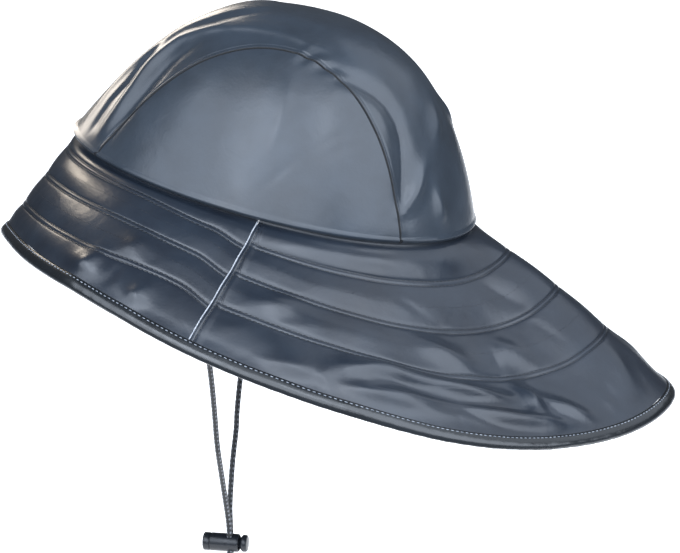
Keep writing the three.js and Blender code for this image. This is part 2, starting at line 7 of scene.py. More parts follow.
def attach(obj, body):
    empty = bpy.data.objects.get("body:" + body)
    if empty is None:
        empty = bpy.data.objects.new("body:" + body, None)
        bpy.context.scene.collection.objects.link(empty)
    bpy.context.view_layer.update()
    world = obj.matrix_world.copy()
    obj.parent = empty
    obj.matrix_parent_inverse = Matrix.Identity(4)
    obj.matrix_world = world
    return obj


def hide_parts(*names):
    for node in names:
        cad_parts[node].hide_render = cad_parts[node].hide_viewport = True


# Rain hat of coated cloth, held up as a head wears it, with its chin cord and spring lock.
# Sizes are in millimetres in the plane of the crown's base, and asWorn raises the front.
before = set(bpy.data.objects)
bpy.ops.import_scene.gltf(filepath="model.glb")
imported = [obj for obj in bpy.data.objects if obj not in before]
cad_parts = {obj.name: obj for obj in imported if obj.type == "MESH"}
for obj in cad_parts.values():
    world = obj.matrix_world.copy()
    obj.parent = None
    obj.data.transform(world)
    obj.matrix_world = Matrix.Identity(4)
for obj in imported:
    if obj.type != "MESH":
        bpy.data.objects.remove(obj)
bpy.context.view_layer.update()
scene = bpy.context.scene
print("stage: frame loaded")

hat = {
    "wearTiltDeg": 12.8,
    "crownLength": 219,
    "crownWidth": 184,
    "crownHeight": 91,
    "crownBackShift": 8,
    "crownWall": 1.4,
    "sideRoundness": 2.6,
    "sideRoundnessChange": 0.1,
    "topRoundness": 1.08,
    "topRoundnessChange": 0.08,
    "lipRadius": 2.2,
    "lipBulge": 0.3,
    "lipTuckDeg": 110,
    "stripHalfWidth": 46,
    "stripFlare": 15,
    "stripBackShift": 6,
    "seamGap": 0.5,
    "brimLength": 142,
    "brimWall": 1.8,
    "brimDrop": 0.6,
    "brimSeamClearance": 0.35,
    "hemWidth": 7,
    "sideSeamTopDeg": 91.5,
    "sideSeamRimDeg": 87,
}


# One colour reader and a few node adders serve every material.
def linearColour(hexText):
    channels = [int(hexText[k:k + 2], 16) / 255 for k in (1, 3, 5)]
    linear = [c / 12.92 if c <= 0.04045 else ((c + 0.055) / 1.055) ** 2.4 for c in channels]
    return (*linear, 1.0)


def addNode(tree, kind, settings=None, links=None):
    node = tree.nodes.new(kind)
    for name, value in (settings or {}).items():
        setattr(node, name, value)
    for name, value in (links or {}).items():
        if isinstance(value, bpy.types.NodeSocket):
            tree.links.new(value, node.inputs[name])
        else:
            node.inputs[name].default_value = value
    return node


def addMath(tree, operation, *values):
    return addNode(tree, "ShaderNodeMath", {"operation": operation}, dict(enumerate(values))).outputs[0]


def addRange(tree, value, start, end, low=0.0, high=1.0):
    return addNode(tree, "ShaderNodeMapRange", {}, {
        "Value": value, "From Min": start, "From Max": end, "To Min": low, "To Max": high,
    }).outputs[0]


def addNoise(tree, place, sizeMm, detail, more=None):
    return addNode(tree, "ShaderNodeTexNoise", {}, {
        "Vector": place, "Scale": 1000 / sizeMm, "Detail": detail, **(more or {}),
    }).outputs["Fac"]


def addCells(tree, place, sizeMm, feature="F1"):
    return addNode(tree, "ShaderNodeTexVoronoi", {"feature": feature}, {
        "Vector": place, "Scale": 1000 / sizeMm,
    }).outputs["Distance"]


def addRamp(tree, value, tones, places=(0.0, 1.0)):
    ramp = addNode(tree, "ShaderNodeValToRGB", {}, {"Fac": value})
    for stop, place, tone in zip(ramp.color_ramp.elements, places, tones):
        stop.position = place
        stop.color = linearColour(tone)
    return ramp.outputs["Color"]


def addBump(tree, height, strength, depthMm, under=None):
    links = {"Height": height, "Strength": strength, "Distance": depthMm * 0.001}
    if under is not None:
        links["Normal"] = under
    return addNode(tree, "ShaderNodeBump", {}, links).outputs["Normal"]


def addMix(tree, share, base, over):
    return addNode(tree, "ShaderNodeMix", {"data_type": "RGBA"}, {0: share, 6: base, 7: over}).outputs[2]


def readMark(tree, name):
    return addNode(tree, "ShaderNodeAttribute", {"attribute_name": name}).outputs["Fac"]


def newMaterial(name):
    material = bpy.data.materials.new(name)
    material.use_nodes = True
    tree = material.node_tree
    tree.nodes.clear()
    return material, tree, addNode(tree, "ShaderNodeTexCoord").outputs["Object"]


def shadeWith(material, values):
    tree = material.node_tree
    shader = addNode(tree, "ShaderNodeBsdfPrincipled", {}, values)
    out = addNode(tree, "ShaderNodeOutputMaterial")
    tree.links.new(shader.outputs[0], out.inputs["Surface"])
    return material


# Polyurethane-coated satin cloth: a dark slate film with a soft, wide sheen, faint
# clouding and a fine leather-like grain, crumpled very softly where it was packed.
coatedLook = {
    # Crown, brim and hem are one cloth: the crown's lighter tones and the brim's darker ones are painted
    # light and shade, and the hem's tones are darker again.
    "crown": {"tones": ("#2b3138", "#363e47"), "rough": (0.28, 0.34), "coat": 0.12, "index": 1.5},
    "brim": {"tones": ("#191f28", "#232b35"), "rough": (0.3, 0.36), "coat": 0.12, "index": 1.57},
    "hem": {"tones": ("#131619", "#1b1f23"), "rough": (0.22, 0.28), "coat": 0.2, "index": 1.6},
    "cloudMm": 38,
    "cloudPlaces": (0.32, 0.7),
    "glossMm": 22.8,
    "grainMm": 1.3,
    "grainDepthMm": 0.035,
    "crumpleMm": 13,
    "crumpleDepthMm": 0.22,
    # Width, tone and roughness of the painted shadow along the crown's seams.
    "seamShadowMm": (0.35, 0.8),
    "seamShadowTone": "#0a0b0d",
    "seamShadowRough": 0.9,
    "stitchPitchMm": 2.8,
    "stitchAsideMm": 1.25,
    "stitchEdgeMm": (0.1, 0.34),
    "stitchDepthMm": 0.25,
    "stitchTone": "#0e1013",
}


# Painted shadow: along each of the crown's seams the cloth is darkened and made rougher, where the
# strip's turned edge would throw its shade.
def paintedSeamShadow(tree, colour, rough):
    gap = addRange(tree, readMark(tree, "fromSeam"), *coatedLook["seamShadowMm"], 1.0, 0.0)
    seamShadowRough = addRange(tree, gap, 0.0, 1.0, rough, coatedLook["seamShadowRough"])
    return addMix(tree, gap, colour, linearColour(coatedLook["seamShadowTone"])), seamShadowRough


# Two lines of dark stitches run beside the middle of each of the brim's rows.
def sewnRows(tree, colour, normal):
    past = addMath(tree, "ABSOLUTE", readMark(tree, "fromRow"))
    aside = addMath(tree, "SUBTRACT", past, coatedLook["stitchAsideMm"])
    line = addRange(tree, addMath(tree, "ABSOLUTE", aside), *coatedLook["stitchEdgeMm"], 1.0, 0.0)
    perMm = 2 * math.pi / coatedLook["stitchPitchMm"]
    wave = addMath(tree, "SINE", addMath(tree, "MULTIPLY", readMark(tree, "alongRow"), perMm))
    thread = addMath(tree, "MULTIPLY", line, addRange(tree, wave, -0.8, -0.3))
    sewn = addBump(tree, thread, 0.8, coatedLook["stitchDepthMm"], normal)
    return addMix(tree, thread, colour, linearColour(coatedLook["stitchTone"])), sewn


def coatedCloth(name, look, withRows=False, withSeamShadow=False):
    material, tree, place = newMaterial(name)
    cloud = addNoise(tree, place, coatedLook["cloudMm"], 4.0, {"Roughness": 0.6})
    colour = addRamp(tree, cloud, look["tones"], coatedLook["cloudPlaces"])
    gloss = addNoise(tree, place, coatedLook["glossMm"], 3.0)
    rough = addRange(tree, gloss, 0.35, 0.65, *look["rough"])
    crumple = addNoise(tree, place, coatedLook["crumpleMm"], 3.0, {"Distortion": 0.6})
    soft = addBump(tree, crumple, 1.0, coatedLook["crumpleDepthMm"])
    grain = addCells(tree, place, coatedLook["grainMm"], "SMOOTH_F1")
    normal = addBump(tree, grain, 0.8, coatedLook["grainDepthMm"], soft)
    if withSeamShadow:
        colour, rough = paintedSeamShadow(tree, colour, rough)
    if withRows:
        colour, normal = sewnRows(tree, colour, normal)
    return shadeWith(material, {
        "Base Color": colour, "Roughness": rough, "IOR": look["index"],
        "Coat Weight": look["coat"], "Coat Roughness": 0.22, "Normal": normal,
    })


# Knitted polyester backing on the cloth's inner side: dull, soft and close to black.
backingLook = {"tones": ("#262a30", "#1b1e23"), "loopMm": 1.4, "depthMm": 0.2}


def knittedBacking(name):
    material, tree, place = newMaterial(name)
    loops = addCells(tree, place, backingLook["loopMm"])
    return shadeWith(material, {
        "Base Color": addRamp(tree, loops, backingLook["tones"]), "Roughness": 0.82, "IOR": 1.45,
        "Sheen Weight": 0.25, "Normal": addBump(tree, loops, 0.7, backingLook["depthMm"]),
    })


# Woven polyester piping and thread: light grey, slightly dulled, with tight fine turns.
trimLook = {
    "piping": ("#8f949c", "#c9ccd1"),
    "thread": ("#6c727b", "#a3a8b0"),
    "turnMm": 0.9,
    "turnPlaces": (0.35, 0.65),
    "depthMm": 0.1,
}


def wovenTrim(name, tones):
    material, tree, place = newMaterial(name)
    turns = addNoise(tree, place, trimLook["turnMm"], 2.0)
    return shadeWith(material, {
        "Base Color": addRamp(tree, turns, tones, trimLook["turnPlaces"]), "Roughness": 0.6, "IOR": 1.5,
        "Normal": addBump(tree, turns, 0.6, trimLook["depthMm"]),
    })


# Braided polyester cord: black yarns with a few grey ones, crossing in small diamonds.
braidLook = {"black": "#121315", "grey": "#7b7e84", "yarns": 8, "layMm": 11}


def braidedYarn(name):
    material, tree, _ = newMaterial(name)
    uv = addNode(tree, "ShaderNodeUVMap", {"uv_map": "UVMap"}).outputs["UV"]
    parts = addNode(tree, "ShaderNodeSeparateXYZ", {}, {"Vector": uv})
    turns = addMath(tree, "DIVIDE", parts.outputs["Y"], braidLook["layMm"])
    families = []
    for way in ("ADD", "SUBTRACT"):
        lay = addMath(tree, way, parts.outputs["X"], turns)
        yarn = addMath(tree, "MULTIPLY", lay, 2 * math.pi * braidLook["yarns"] / 4)
        families.append(addMath(tree, "SINE", yarn))
    speck = addRange(tree, addMath(tree, "MULTIPLY", *families), 0.25, 0.7)
    black, grey = linearColour(braidLook["black"]), linearColour(braidLook["grey"])
    return shadeWith(material, {
        "Base Color": addMix(tree, speck, black, grey), "Roughness": 0.55, "IOR": 1.5,
        "Sheen Weight": 0.2,
    })


# Moulded acetal: glossy near-black plastic with a faint wave from the mould.
acetalLook = {
    "tones": ("#14161a", "#20242a"),
    "rough": (0.26, 0.36),
    "wavesPerMetre": 450,
    "depthMm": 0.1,
}


def mouldedAcetal(name):
    material, tree, place = newMaterial(name)
    wave = addNoise(tree, place, 1000 / acetalLook["wavesPerMetre"], 2.0)
    return shadeWith(material, {
        "Base Color": addRamp(tree, wave, acetalLook["tones"]),
        "Roughness": addRange(tree, wave, 0.3, 0.7, *acetalLook["rough"]), "IOR": 1.48,
        "Normal": addBump(tree, wave, 0.5, acetalLook["depthMm"]),
    })


crownCloth = coatedCloth("polyurethaneCoatedCrownCloth", coatedLook["crown"], withSeamShadow=True)
brimCloth = coatedCloth("polyurethaneCoatedBrimCloth", coatedLook["brim"], withRows=True)
hemCloth = coatedCloth("polyurethaneCoatedHemBinding", coatedLook["hem"])
backing = knittedBacking("knittedPolyesterBacking")
pipingYarn = wovenTrim("whitePolyesterPiping", trimLook["piping"])
hemThread = wovenTrim("greyPolyesterThread", trimLook["thread"])
cordYarn = braidedYarn("braidedPolyesterCord")
lockPlastic = mouldedAcetal("mouldedBlackAcetal")
print("stage: materials made")


# The camera stands at the hat's left, a little above it, with a long lens.
cameraView = {"place": (1.4346, 0.2989, 0.3265), "target": (0.0069, 0.0369, -0.0517), "lens": 149.8}

bpy.ops.object.camera_add(location=cameraView["place"])
camera = bpy.context.object
camera.name = "hatCamera"
camera.data.lens = cameraView["lens"]
camera.data.sensor_width = 36
camera.data.clip_end = 50
look = Vector(cameraView["target"]) - Vector(cameraView["place"])
camera.rotation_euler = look.to_track_quat("-Z", "Y").to_euler()
scene.camera = camera
print("stage: camera set")


def deselectAll():
    if bpy.context.object and bpy.context.object.mode != "OBJECT":
        bpy.ops.object.mode_set(mode="OBJECT")
    bpy.ops.object.select_all(action="DESELECT")


def makeActive(piece):
    deselectAll()
    piece.select_set(True)
    bpy.context.view_layer.objects.active = piece


def editAll(piece):
    makeActive(piece)
    bpy.ops.object.mode_set(mode="EDIT")
    bpy.ops.mesh.select_all(action="SELECT")


def rightWayOut(piece):
    editAll(piece)
    bpy.ops.mesh.normals_make_consistent(inside=False)
    bpy.ops.object.mode_set(mode="OBJECT")


def shadeSmooth(piece, sharpDeg):
    makeActive(piece)
    bpy.ops.object.shade_smooth_by_angle(angle=math.radians(sharpDeg))


def readPoints(mesh):
    flat = np.empty(len(mesh.vertices) * 3)
    mesh.vertices.foreach_get("co", flat)
    return flat.reshape(-1, 3)


# A grid is added as a primitive, and its points are then moved on to the cloth's surface.
def gridPiece(name, outer, uv):
    columns, rows = outer.shape[:2]
    deselectAll()
    bpy.ops.mesh.primitive_grid_add(x_subdivisions=columns - 1, y_subdivisions=rows - 1, size=2)
    piece = bpy.context.object
    piece.name = name
    mesh = piece.data
    points = readPoints(mesh)
    i = np.rint((points[:, 0] + 1) / 2 * (columns - 1)).astype(int)
    j = np.rint((points[:, 1] + 1) / 2 * (rows - 1)).astype(int)
    mesh.vertices.foreach_set("co", outer[i, j].ravel())
    corners = np.empty(len(mesh.loops), dtype=np.int32)
    mesh.loops.foreach_get("vertex_index", corners)
    mesh.uv_layers[0].name = "UVMap"
    mesh.uv_layers[0].data.foreach_set("uv", uv[i, j][corners].ravel())
    mesh.update()
    return piece, i, j


def faceAwayFrom(piece, inside):
    mesh = piece.data
    middle = mesh.polygons[len(mesh.polygons) // 2]
    if (middle.center - Vector(inside)).dot(middle.normal) < 0:
        editAll(piece)
        bpy.ops.mesh.flip_normals()
        bpy.ops.object.mode_set(mode="OBJECT")


# A cloth wall: the outer grid gets its thickness and its inner side is laid where the
# plain cloth is, so sewn ridges stand on the outside alone.
def clothWall(name, outer, inner, uv, wallMm, materials, inside, marks):
    piece, i, j = gridPiece(name, outer, uv)
    mesh = piece.data
    for markName, values in marks.items():
        layer = mesh.attributes.new(markName, "FLOAT", "POINT")
        layer.data.foreach_set("value", values[i, j].astype(np.float32).ravel())
    faceAwayFrom(piece, inside)
    for material in materials:
        mesh.materials.append(material)
    count = len(mesh.vertices)
    makeActive(piece)
    bpy.ops.object.modifier_add(type="SOLIDIFY")
    wall = piece.modifiers[-1]
    wall.thickness = wallMm * 0.001
    wall.offset = -1
    wall.material_offset = 1
    wall.material_offset_rim = 1
    bpy.ops.object.modifier_apply(modifier=wall.name)
    mesh = piece.data
    points = readPoints(mesh)
    points[count:] = inner[i, j]
    mesh.vertices.foreach_set("co", points.ravel())
    mesh.update()
    shadeSmooth(piece, 60)
    return piece


# The grid's meeting edges become one, and its faces then all point outwards.
def closeSeams(piece):
    editAll(piece)
    bpy.ops.mesh.remove_doubles(threshold=1e-7)
    bpy.ops.mesh.normals_make_consistent(inside=False)
    bpy.ops.object.mode_set(mode="OBJECT")


# A round or oval tube from rings of points, with its ends drawn together and closed.
def tubePiece(name, rings, uv, material):
    ends = [rings[:1].mean(axis=1, keepdims=True), rings[-1:].mean(axis=1, keepdims=True)]
    shut = [np.repeat(end, rings.shape[1], axis=1) for end in ends]
    closed = np.concatenate([shut[0], rings, shut[1]], axis=0)
    closedUv = np.concatenate([uv[:1], uv, uv[-1:]], axis=0)
    closed = np.concatenate([closed, closed[:, :1]], axis=1)
    piece, _, _ = gridPiece(name, closed, closedUv)
    piece.data.materials.append(material)
    closeSeams(piece)
    shadeSmooth(piece, 60)
    return piece


# Chin cord: a braided round cord from the crown's left seam down through the lock, round
# its loop and up to the right seam. The route is the left half, in metres.
chinCord = {
    "diameterMm": 3.0,
    "length": 0.519,
    "ringStepMm": 0.42,
    "sides": 32,
    "braidDepthMm": 0.13,
    "halfRoute": [
        (0.0810, -0.0260, 0.0060), (0.0796, -0.0260, -0.0020), (0.0710, -0.0258, -0.0320),
        (0.0576, -0.0255, -0.0680), (0.0429, -0.0255, -0.1000), (0.0316, -0.0264, -0.1240),
        (0.0255, -0.0269, -0.1400), (0.0224, -0.0268, -0.1490), (0.0141, -0.0270, -0.1640),
        (0.0068, -0.0268, -0.1800), (0.0033, -0.0265, -0.1890), (0.0018, -0.0260, -0.1970),
        (0.0016, -0.0258, -0.2036), (0.0016, -0.0258, -0.2121), (0.0030, -0.0258, -0.2166),
        (0.0060, -0.0258, -0.2221), (0.0059, -0.0258, -0.2281), (0.0034, -0.0258, -0.2320),
    ],
    "bottom": (0, -0.0258, -0.2332),
}


# A smooth line through the points, knotted by the root of their spacing.
def smoothRoute(points, perSpan=40):
    points = [np.array(p, float) for p in points]
    ghost = [2 * points[0] - points[1], *points, 2 * points[-1] - points[-2]]
    line = []
    for k in range(1, len(ghost) - 2):
        p = ghost[k - 1:k + 3]
        knots = [0.0]
        for a, b in zip(p, p[1:]):
            knots.append(knots[-1] + max(np.linalg.norm(b - a) ** 0.5, 1e-6))
        t = np.linspace(knots[1], knots[2], perSpan, endpoint=False)[:, None]
        blend = [
            ((knots[m + 1] - t) * p[m] + (t - knots[m]) * p[m + 1]) / (knots[m + 1] - knots[m])
            for m in range(3)
        ]
        pair = [
            ((knots[m + 2] - t) * blend[m] + (t - knots[m]) * blend[m + 1]) / (knots[m + 2] - knots[m])
            for m in range(2)
        ]
        line.append(((knots[2] - t) * pair[0] + (t - knots[1]) * pair[1]) / (knots[2] - knots[1]))
    return np.concatenate([*line, points[-1][None]])


def evenLine(line, step):
    spans = np.linalg.norm(np.diff(line, axis=0), axis=1)
    along = np.concatenate([[0], np.cumsum(spans)])
    places = np.linspace(0, along[-1], int(along[-1] / step) + 1)
    return np.stack([np.interp(places, along, line[:, k]) for k in range(3)], axis=1), places


leftRoute = chinCord["halfRoute"]
rightRoute = [(-x, y, z) for x, y, z in reversed(leftRoute)]
cordLine = smoothRoute([*leftRoute, chinCord["bottom"], *rightRoute])
cordPath, cordAlong = evenLine(cordLine, chinCord["ringStepMm"] * 0.001)


# The cord's rings turn along the line without twist, and the braid stands on them.
def cordRings():
    ahead = np.gradient(cordPath, axis=0)
    ahead /= np.linalg.norm(ahead, axis=1, keepdims=True)
    side = np.cross(ahead[0], (0, 1, 0))
    sides = []
    for direction in ahead:
        side = side - direction * side.dot(direction)
        side /= np.linalg.norm(side)
        sides.append(side)
    sides = np.array(sides)
    over = np.cross(ahead, sides)
    turn = np.linspace(0, 2 * math.pi, chinCord["sides"], endpoint=False)[None, :]
    lay = (cordAlong * 1000 / braidLook["layMm"] * 2 * math.pi)[:, None]
    pairs = braidLook["yarns"] / 2
    crossing = np.sin(pairs * (turn + lay)) * np.sin(pairs * (turn - lay))
    depth = chinCord["braidDepthMm"] * 0.001
    radius = chinCord["diameterMm"] / 2000 - depth / 2 + depth * np.abs(crossing) ** 0.7
    ray = np.cos(turn)[..., None] * sides[:, None, :] + np.sin(turn)[..., None] * over[:, None, :]
    rings = cordPath[:, None, :] + radius[..., None] * ray
    around = np.linspace(0, 1, chinCord["sides"] + 1)[None, :].repeat(len(cordPath), axis=0)
    along = (cordAlong * 1000)[:, None].repeat(chinCord["sides"] + 1, axis=1)
    return rings, np.stack([around, along], axis=-1)


rings, cordUv = cordRings()
cordPiece = tubePiece("chinCordBraid", rings, cordUv, cordYarn)
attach(cordPiece, "hat")
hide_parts("chin_cord")
print("stage: cord made, length", round(float(cordAlong[-1]), 4))


# Cord lock: a turned barrel with a flange, a groove and an open mouth, and a plunger
# with a round button. Profiles are radius and place along the lock from its cord hole.
cordLock = {
    "centre": (0, -0.0258, -0.2076),
    "sides": 72,
    "barrel": [
        (4.1, -14.8), (4.6, -14.62), (4.9, -14.3), (5.0, -13.9), (5.0, -11.5), (4.86, -11.1),
        (4.5, -10.9), (4.86, -10.7), (5.0, -10.3), (5.0, 4.2), (4.9, 4.75), (4.6, 5.1), (4.35, 5.2),
        (4.3, 5.0), (4.3, -6.6),
    ],
    "plunger": [
        (3.6, -5.0), (4.0, -4.7), (4.0, 3.4), (3.7, 3.7), (2.4, 3.9), (2.4, 5.3), (2.6, 5.55),
        (4.1, 6.75), (4.55, 7.15), (4.7, 7.6), (4.7, 8.9), (4.55, 9.4), (4.2, 9.75), (3.4, 9.9),
    ],
    "holeRadius": 1.8,
    "holeSpread": 1.6,
    "cutterMm": 30,
    "travel": 1.2,
}


def turnedPiece(name, profile):
    sides, centre = cordLock["sides"], cordLock["centre"]
    radius, along = profile[0]
    deselectAll()
    bpy.ops.mesh.primitive_circle_add(
        vertices=sides, radius=radius * 0.001, fill_type="NGON",
        location=(centre[0], centre[1] + along * 0.001, centre[2]), rotation=(-math.pi / 2, 0, 0),
    )
    piece = bpy.context.object
    piece.name = name
    bpy.ops.object.transform_apply(location=True, rotation=True, scale=True)
    bpy.ops.object.mode_set(mode="EDIT")
    bpy.ops.mesh.select_all(action="SELECT")
    for (r0, a0), (r1, a1) in zip(profile, profile[1:]):
        bpy.ops.mesh.extrude_region_move(TRANSFORM_OT_translate={"value": (0, (a1 - a0) * 0.001, 0)})
        here = (centre[0], centre[1] + a1 * 0.001, centre[2])
        bpy.ops.transform.resize(value=(r1 / r0, 1, r1 / r0), center_override=here)
    bpy.ops.object.mode_set(mode="OBJECT")
    return piece


# The cord's hole is oval, and the plunger's is made longer by its travel.
def cordHoleCutter(longer):
    centre, spread = cordLock["centre"], cordLock["holeSpread"]
    deselectAll()
    bpy.ops.mesh.primitive_cylinder_add(
        vertices=32, radius=cordLock["holeRadius"] * 0.001, depth=cordLock["cutterMm"] * 0.001,
        location=centre,
    )
    cutter = bpy.context.object
    bpy.ops.object.transform_apply(location=True, rotation=True, scale=True)
    for vertex in cutter.data.vertices:
        vertex.co.x += spread * 0.001 if vertex.co.x > centre[0] else -spread * 0.001
        if longer and vertex.co.y > centre[1]:
            vertex.co.y += longer * 0.001
    return cutter


def cutHole(piece, cutter):
    makeActive(piece)
    bpy.ops.object.modifier_add(type="BOOLEAN")
    cut = piece.modifiers[-1]
    cut.operation = "DIFFERENCE"
    cut.solver = "EXACT"
    cut.object = cutter
    bpy.ops.object.modifier_apply(modifier=cut.name)
    bpy.data.objects.remove(cutter, do_unlink=True)
    shadeSmooth(piece, 38)


for part, body, longer in (("barrel", "hat", 0), ("plunger", "plunger", cordLock["travel"])):
    piece = turnedPiece("lock" + part.capitalize(), cordLock[part])
    rightWayOut(piece)
    cutHole(piece, cordHoleCutter(longer))
    piece.data.materials.clear()
    piece.data.materials.append(lockPlastic)
    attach(piece, body)
    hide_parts("cord_lock_" + part)
print("stage: lock made")


# The crown's shape: an oval base and a dome over it.
def asWorn(p):
    tilt = math.radians(hat["wearTiltDeg"])
    c, s = math.cos(tilt), math.sin(tilt)
    x, y, z = p[..., 0], p[..., 1], p[..., 2]
    return np.stack([x, y * c + z * s, z * c - y * s], axis=-1) * 0.001


def unit(v):
    return v / np.linalg.norm(v, axis=-1, keepdims=True)


def smoothStep(x, low, high):
    t = np.clip((x - low) / (high - low), 0, 1)
    return t * t * (3 - 2 * t)


# A table starts with the names of its columns, and each row is read by them.
def tableRows(table):
    columns, *rows = table
    return [dict(zip(columns, row)) for row in rows]


def ovalPoint(turn, inset=0.0):
    x = (hat["crownWidth"] / 2 - inset) * np.sin(turn)
    y = -(hat["crownLength"] / 2 - inset) * np.cos(turn) + hat["crownBackShift"] * np.sin(turn) ** 2
    return np.stack([x, y, np.zeros_like(x)], axis=-1)


def ovalOutward(turn):
    across = hat["crownLength"] / 2 * np.sin(turn) + hat["crownBackShift"] * np.sin(2 * turn)
    along = -hat["crownWidth"] / 2 * np.cos(turn)
    return unit(np.stack([across, along, np.zeros_like(across)], axis=-1))


ovalEdge = ovalPoint(np.linspace(0, math.pi, 1441))
ovalHeading = np.arctan2(ovalEdge[:, 0], -ovalEdge[:, 1])
ovalReach = np.hypot(ovalEdge[:, 0], ovalEdge[:, 1])


def domeValue(p):
    heading = np.arctan2(p[..., 0], -p[..., 1])
    facing = np.cos(heading)
    reach = np.hypot(p[..., 0], p[..., 1]) / np.interp(np.abs(heading), ovalHeading, ovalReach)
    height = np.maximum(p[..., 2], 0) / hat["crownHeight"]
    side = hat["sideRoundness"] - hat["sideRoundnessChange"] * facing
    top = hat["topRoundness"] - hat["topRoundnessChange"] * facing
    return reach ** side + height ** top


def domeNormal(p):
    step = 0.2
    slope = []
    for axis in range(3):
        shift = np.zeros(3)
        shift[axis] = step
        low = p - shift
        low[..., 2] = np.maximum(low[..., 2], 0.01)
        high = p + shift
        slope.append((domeValue(high) - domeValue(low)) / (high[..., axis] - low[..., axis]))
    return unit(np.stack(slope, axis=-1))


def domeOnRay(origin, direction):
    low = np.zeros(direction.shape[:-1])
    high = np.full(direction.shape[:-1], float(hat["crownLength"]))
    for _ in range(30):
        middle = (low + high) / 2
        within = domeValue(origin + direction * middle[..., None]) < 1
        low = np.where(within, middle, low)
        high = np.where(within, high, middle)
    return origin + direction * ((low + high) / 2)[..., None]


def domeOverTop(aside, over):
    aside, over = np.broadcast_arrays(np.asarray(aside, float), np.asarray(over, float))
    zero = np.zeros_like(aside)
    origin = np.stack([aside, zero, zero], axis=-1)
    return domeOnRay(origin, np.stack([zero, -np.cos(over), np.sin(over)], axis=-1))


def stripEdge(y):
    share = y / (hat["crownLength"] * 0.38)
    return hat["stripHalfWidth"] + hat["stripFlare"] * share ** 2 + hat["stripBackShift"] * share


def seamPoint(over, gap):
    aside = np.full_like(over, hat["stripHalfWidth"] + gap)
    for _ in range(12):
        aside = stripEdge(domeOverTop(aside, over)[..., 1]) + gap
    return domeOverTop(aside, over)


# Soft uneven waves over the cloth, the same each run.
def clothWaves(p, sizeMm, seed, octaves=2):
    random = np.random.default_rng(seed)
    total = np.zeros(p.shape[:-1])
    for octave in range(octaves):
        size = sizeMm / 2 ** octave
        for _ in range(6):
            way = unit(random.normal(size=3)) * random.uniform(0.6, 1.4)
            total += np.sin(p @ way * 2 * math.pi / size + random.uniform(0, 7)) / 2 ** octave
    return total / 3.2


# One fold or crease that follows a line of points, fading at its ends.
def creaseField(u, v, points, height, width):
    best = np.full(u.shape, 1e9)
    place = np.zeros(u.shape)
    spans = [math.dist(a, b) for a, b in zip(points, points[1:])]
    done = 0.0
    for (a, b), span in zip(zip(points, points[1:]), spans):
        du, dv = (b[0] - a[0]) / span, (b[1] - a[1]) / span
        t = np.clip((u - a[0]) * du + (v - a[1]) * dv, 0, span)
        away = np.hypot(u - a[0] - t * du, v - a[1] - t * dv)
        closer = away < best
        best = np.where(closer, away, best)
        place = np.where(closer, (done + t) / sum(spans), place)
        done += span
    fade = np.sin(math.pi * (0.06 + 0.88 * place)) ** 0.7
    return height * fade * np.exp(-(best / width) ** 2)


def foldField(fold, along, outward, size):
    turn = math.radians(fold["turn"])
    long = (along * math.cos(turn) + outward * math.sin(turn)) / (fold["long"] * size)
    wide = (outward * math.cos(turn) - along * math.sin(turn)) / (fold["wide"] * size)
    return fold["height"] * np.exp(-long ** 2 - wide ** 2)


# Folds of the crown. Over is degrees over the top from the front, aside is a share of
# half the width, and the creases give over and millimetres aside along each line.
crownCloths = {
    "foldHeight": 2.0,
    "folds": [
        ("over", "aside", "long", "wide", "turn", "height"),
        (120, 0.49, 0.09, 0.02, -8, -0.8),
        (152, 0.58, 0.155, 0.022, 18, -0.9),
        (163, 0.56, 0.078, 0.02, 40, 0.7),
        (146, 0.21, 0.055, 0.027, 46, 0.45),
        (170, 0.43, 0.05, 0.02, 6, 0.55),
        (75, 0.33, 0.13, 0.02, 10, 0.55),
        (38, 0.33, 0.075, 0.022, -19, 0.55),
        (133, 0.72, 0.055, 0.027, -47, -0.35),
    ],
    "creases": [
        ("height", "width", "line"),
        (-0.9, 1.4, [
            (112, 50), (119, 47), (126, 44.5), (132, 43.5), (138, 44),
            (144, 46.5), (151, 51), (159, 56), (168, 61),
        ]),
        (0.5, 3.8, [(114, 53), (123, 50.5), (132, 49), (141, 51), (150, 55.5), (160, 61)]),
        (1.0, 2.6, [(155, 41), (162, 51), (170, 63)]),
        (0.7, 3.2, [(141, 10), (146, 18), (151, 28)]),
        (0.8, 2.2, [(164, 39), (170, 40), (175, 41)]),
        (0.7, 1.9, [(57, 28), (68, 31), (80, 35), (97, 39), (103, 38)]),
        (2.4, 3.8, [(1, 50), (17, 43), (26, 38), (34, 32), (47, 26), (62, 28)]),
        (-1.4, 2.8, [(6, 54), (18, 50), (30, 45), (42, 39), (54, 35)]),
        (-1.6, 2.2, [(5, 39), (16, 31), (24, 29), (32, 21), (40, 15)]),
        (1.3, 3.2, [(6, 24), (18, 18), (32, 15), (58, 15), (76, 10)]),
        (-0.5, 2.4, [(52, 22), (62, 21), (76, 18)]),
        (-0.9, 2.6, [(4, 8), (14, 4), (26, 3)]),
        (0.6, 1.8, [(93, 49), (95, 45), (98, 39)]),
        (-0.5, 1.5, [(96, 51), (98, 46), (101, 42)]),
        (0.65, 1.8, [(99, 51), (102, 46), (106, 43)]),
        (-0.45, 1.6, [(103, 52), (106, 48), (110, 45)]),
        (0.5, 2.0, [(107, 52), (111, 49), (116, 46)]),
        (0.45, 4.5, [(95, 55), (97, 66), (103, 77)]),
        (-0.35, 4.0, [(118, 84), (122, 82), (126, 81)]),
        (0.5, 4.0, [(129, 76), (133, 66), (139, 56)]),
    ],
    "edgeRise": 0.55,
    "edgeWidth": 3,
    "edgeRoundMm": 0.8,
    "topStitchMm": 1.9,
    "topStitchDepth": 0.28,
    "waveMm": 55,
    "waveHeightMm": 0.2,
    "stripFlat": (0.155, 0.325),
    "stripArea": 0.034,
    "sideFlat": (0.095, 0.19),
    "sideArea": 0.0115,
    "stripGrid": (101, 261),
    "stripNearSeamMm": (0.35, 1.1, 1.5, 1.9, 2.3, 2.7),
    "sideGrid": (171, 61),
    "sideLowering": 0.4,
}

# A mark's value where cloth is far from any seam or row.
farMm = 99.0


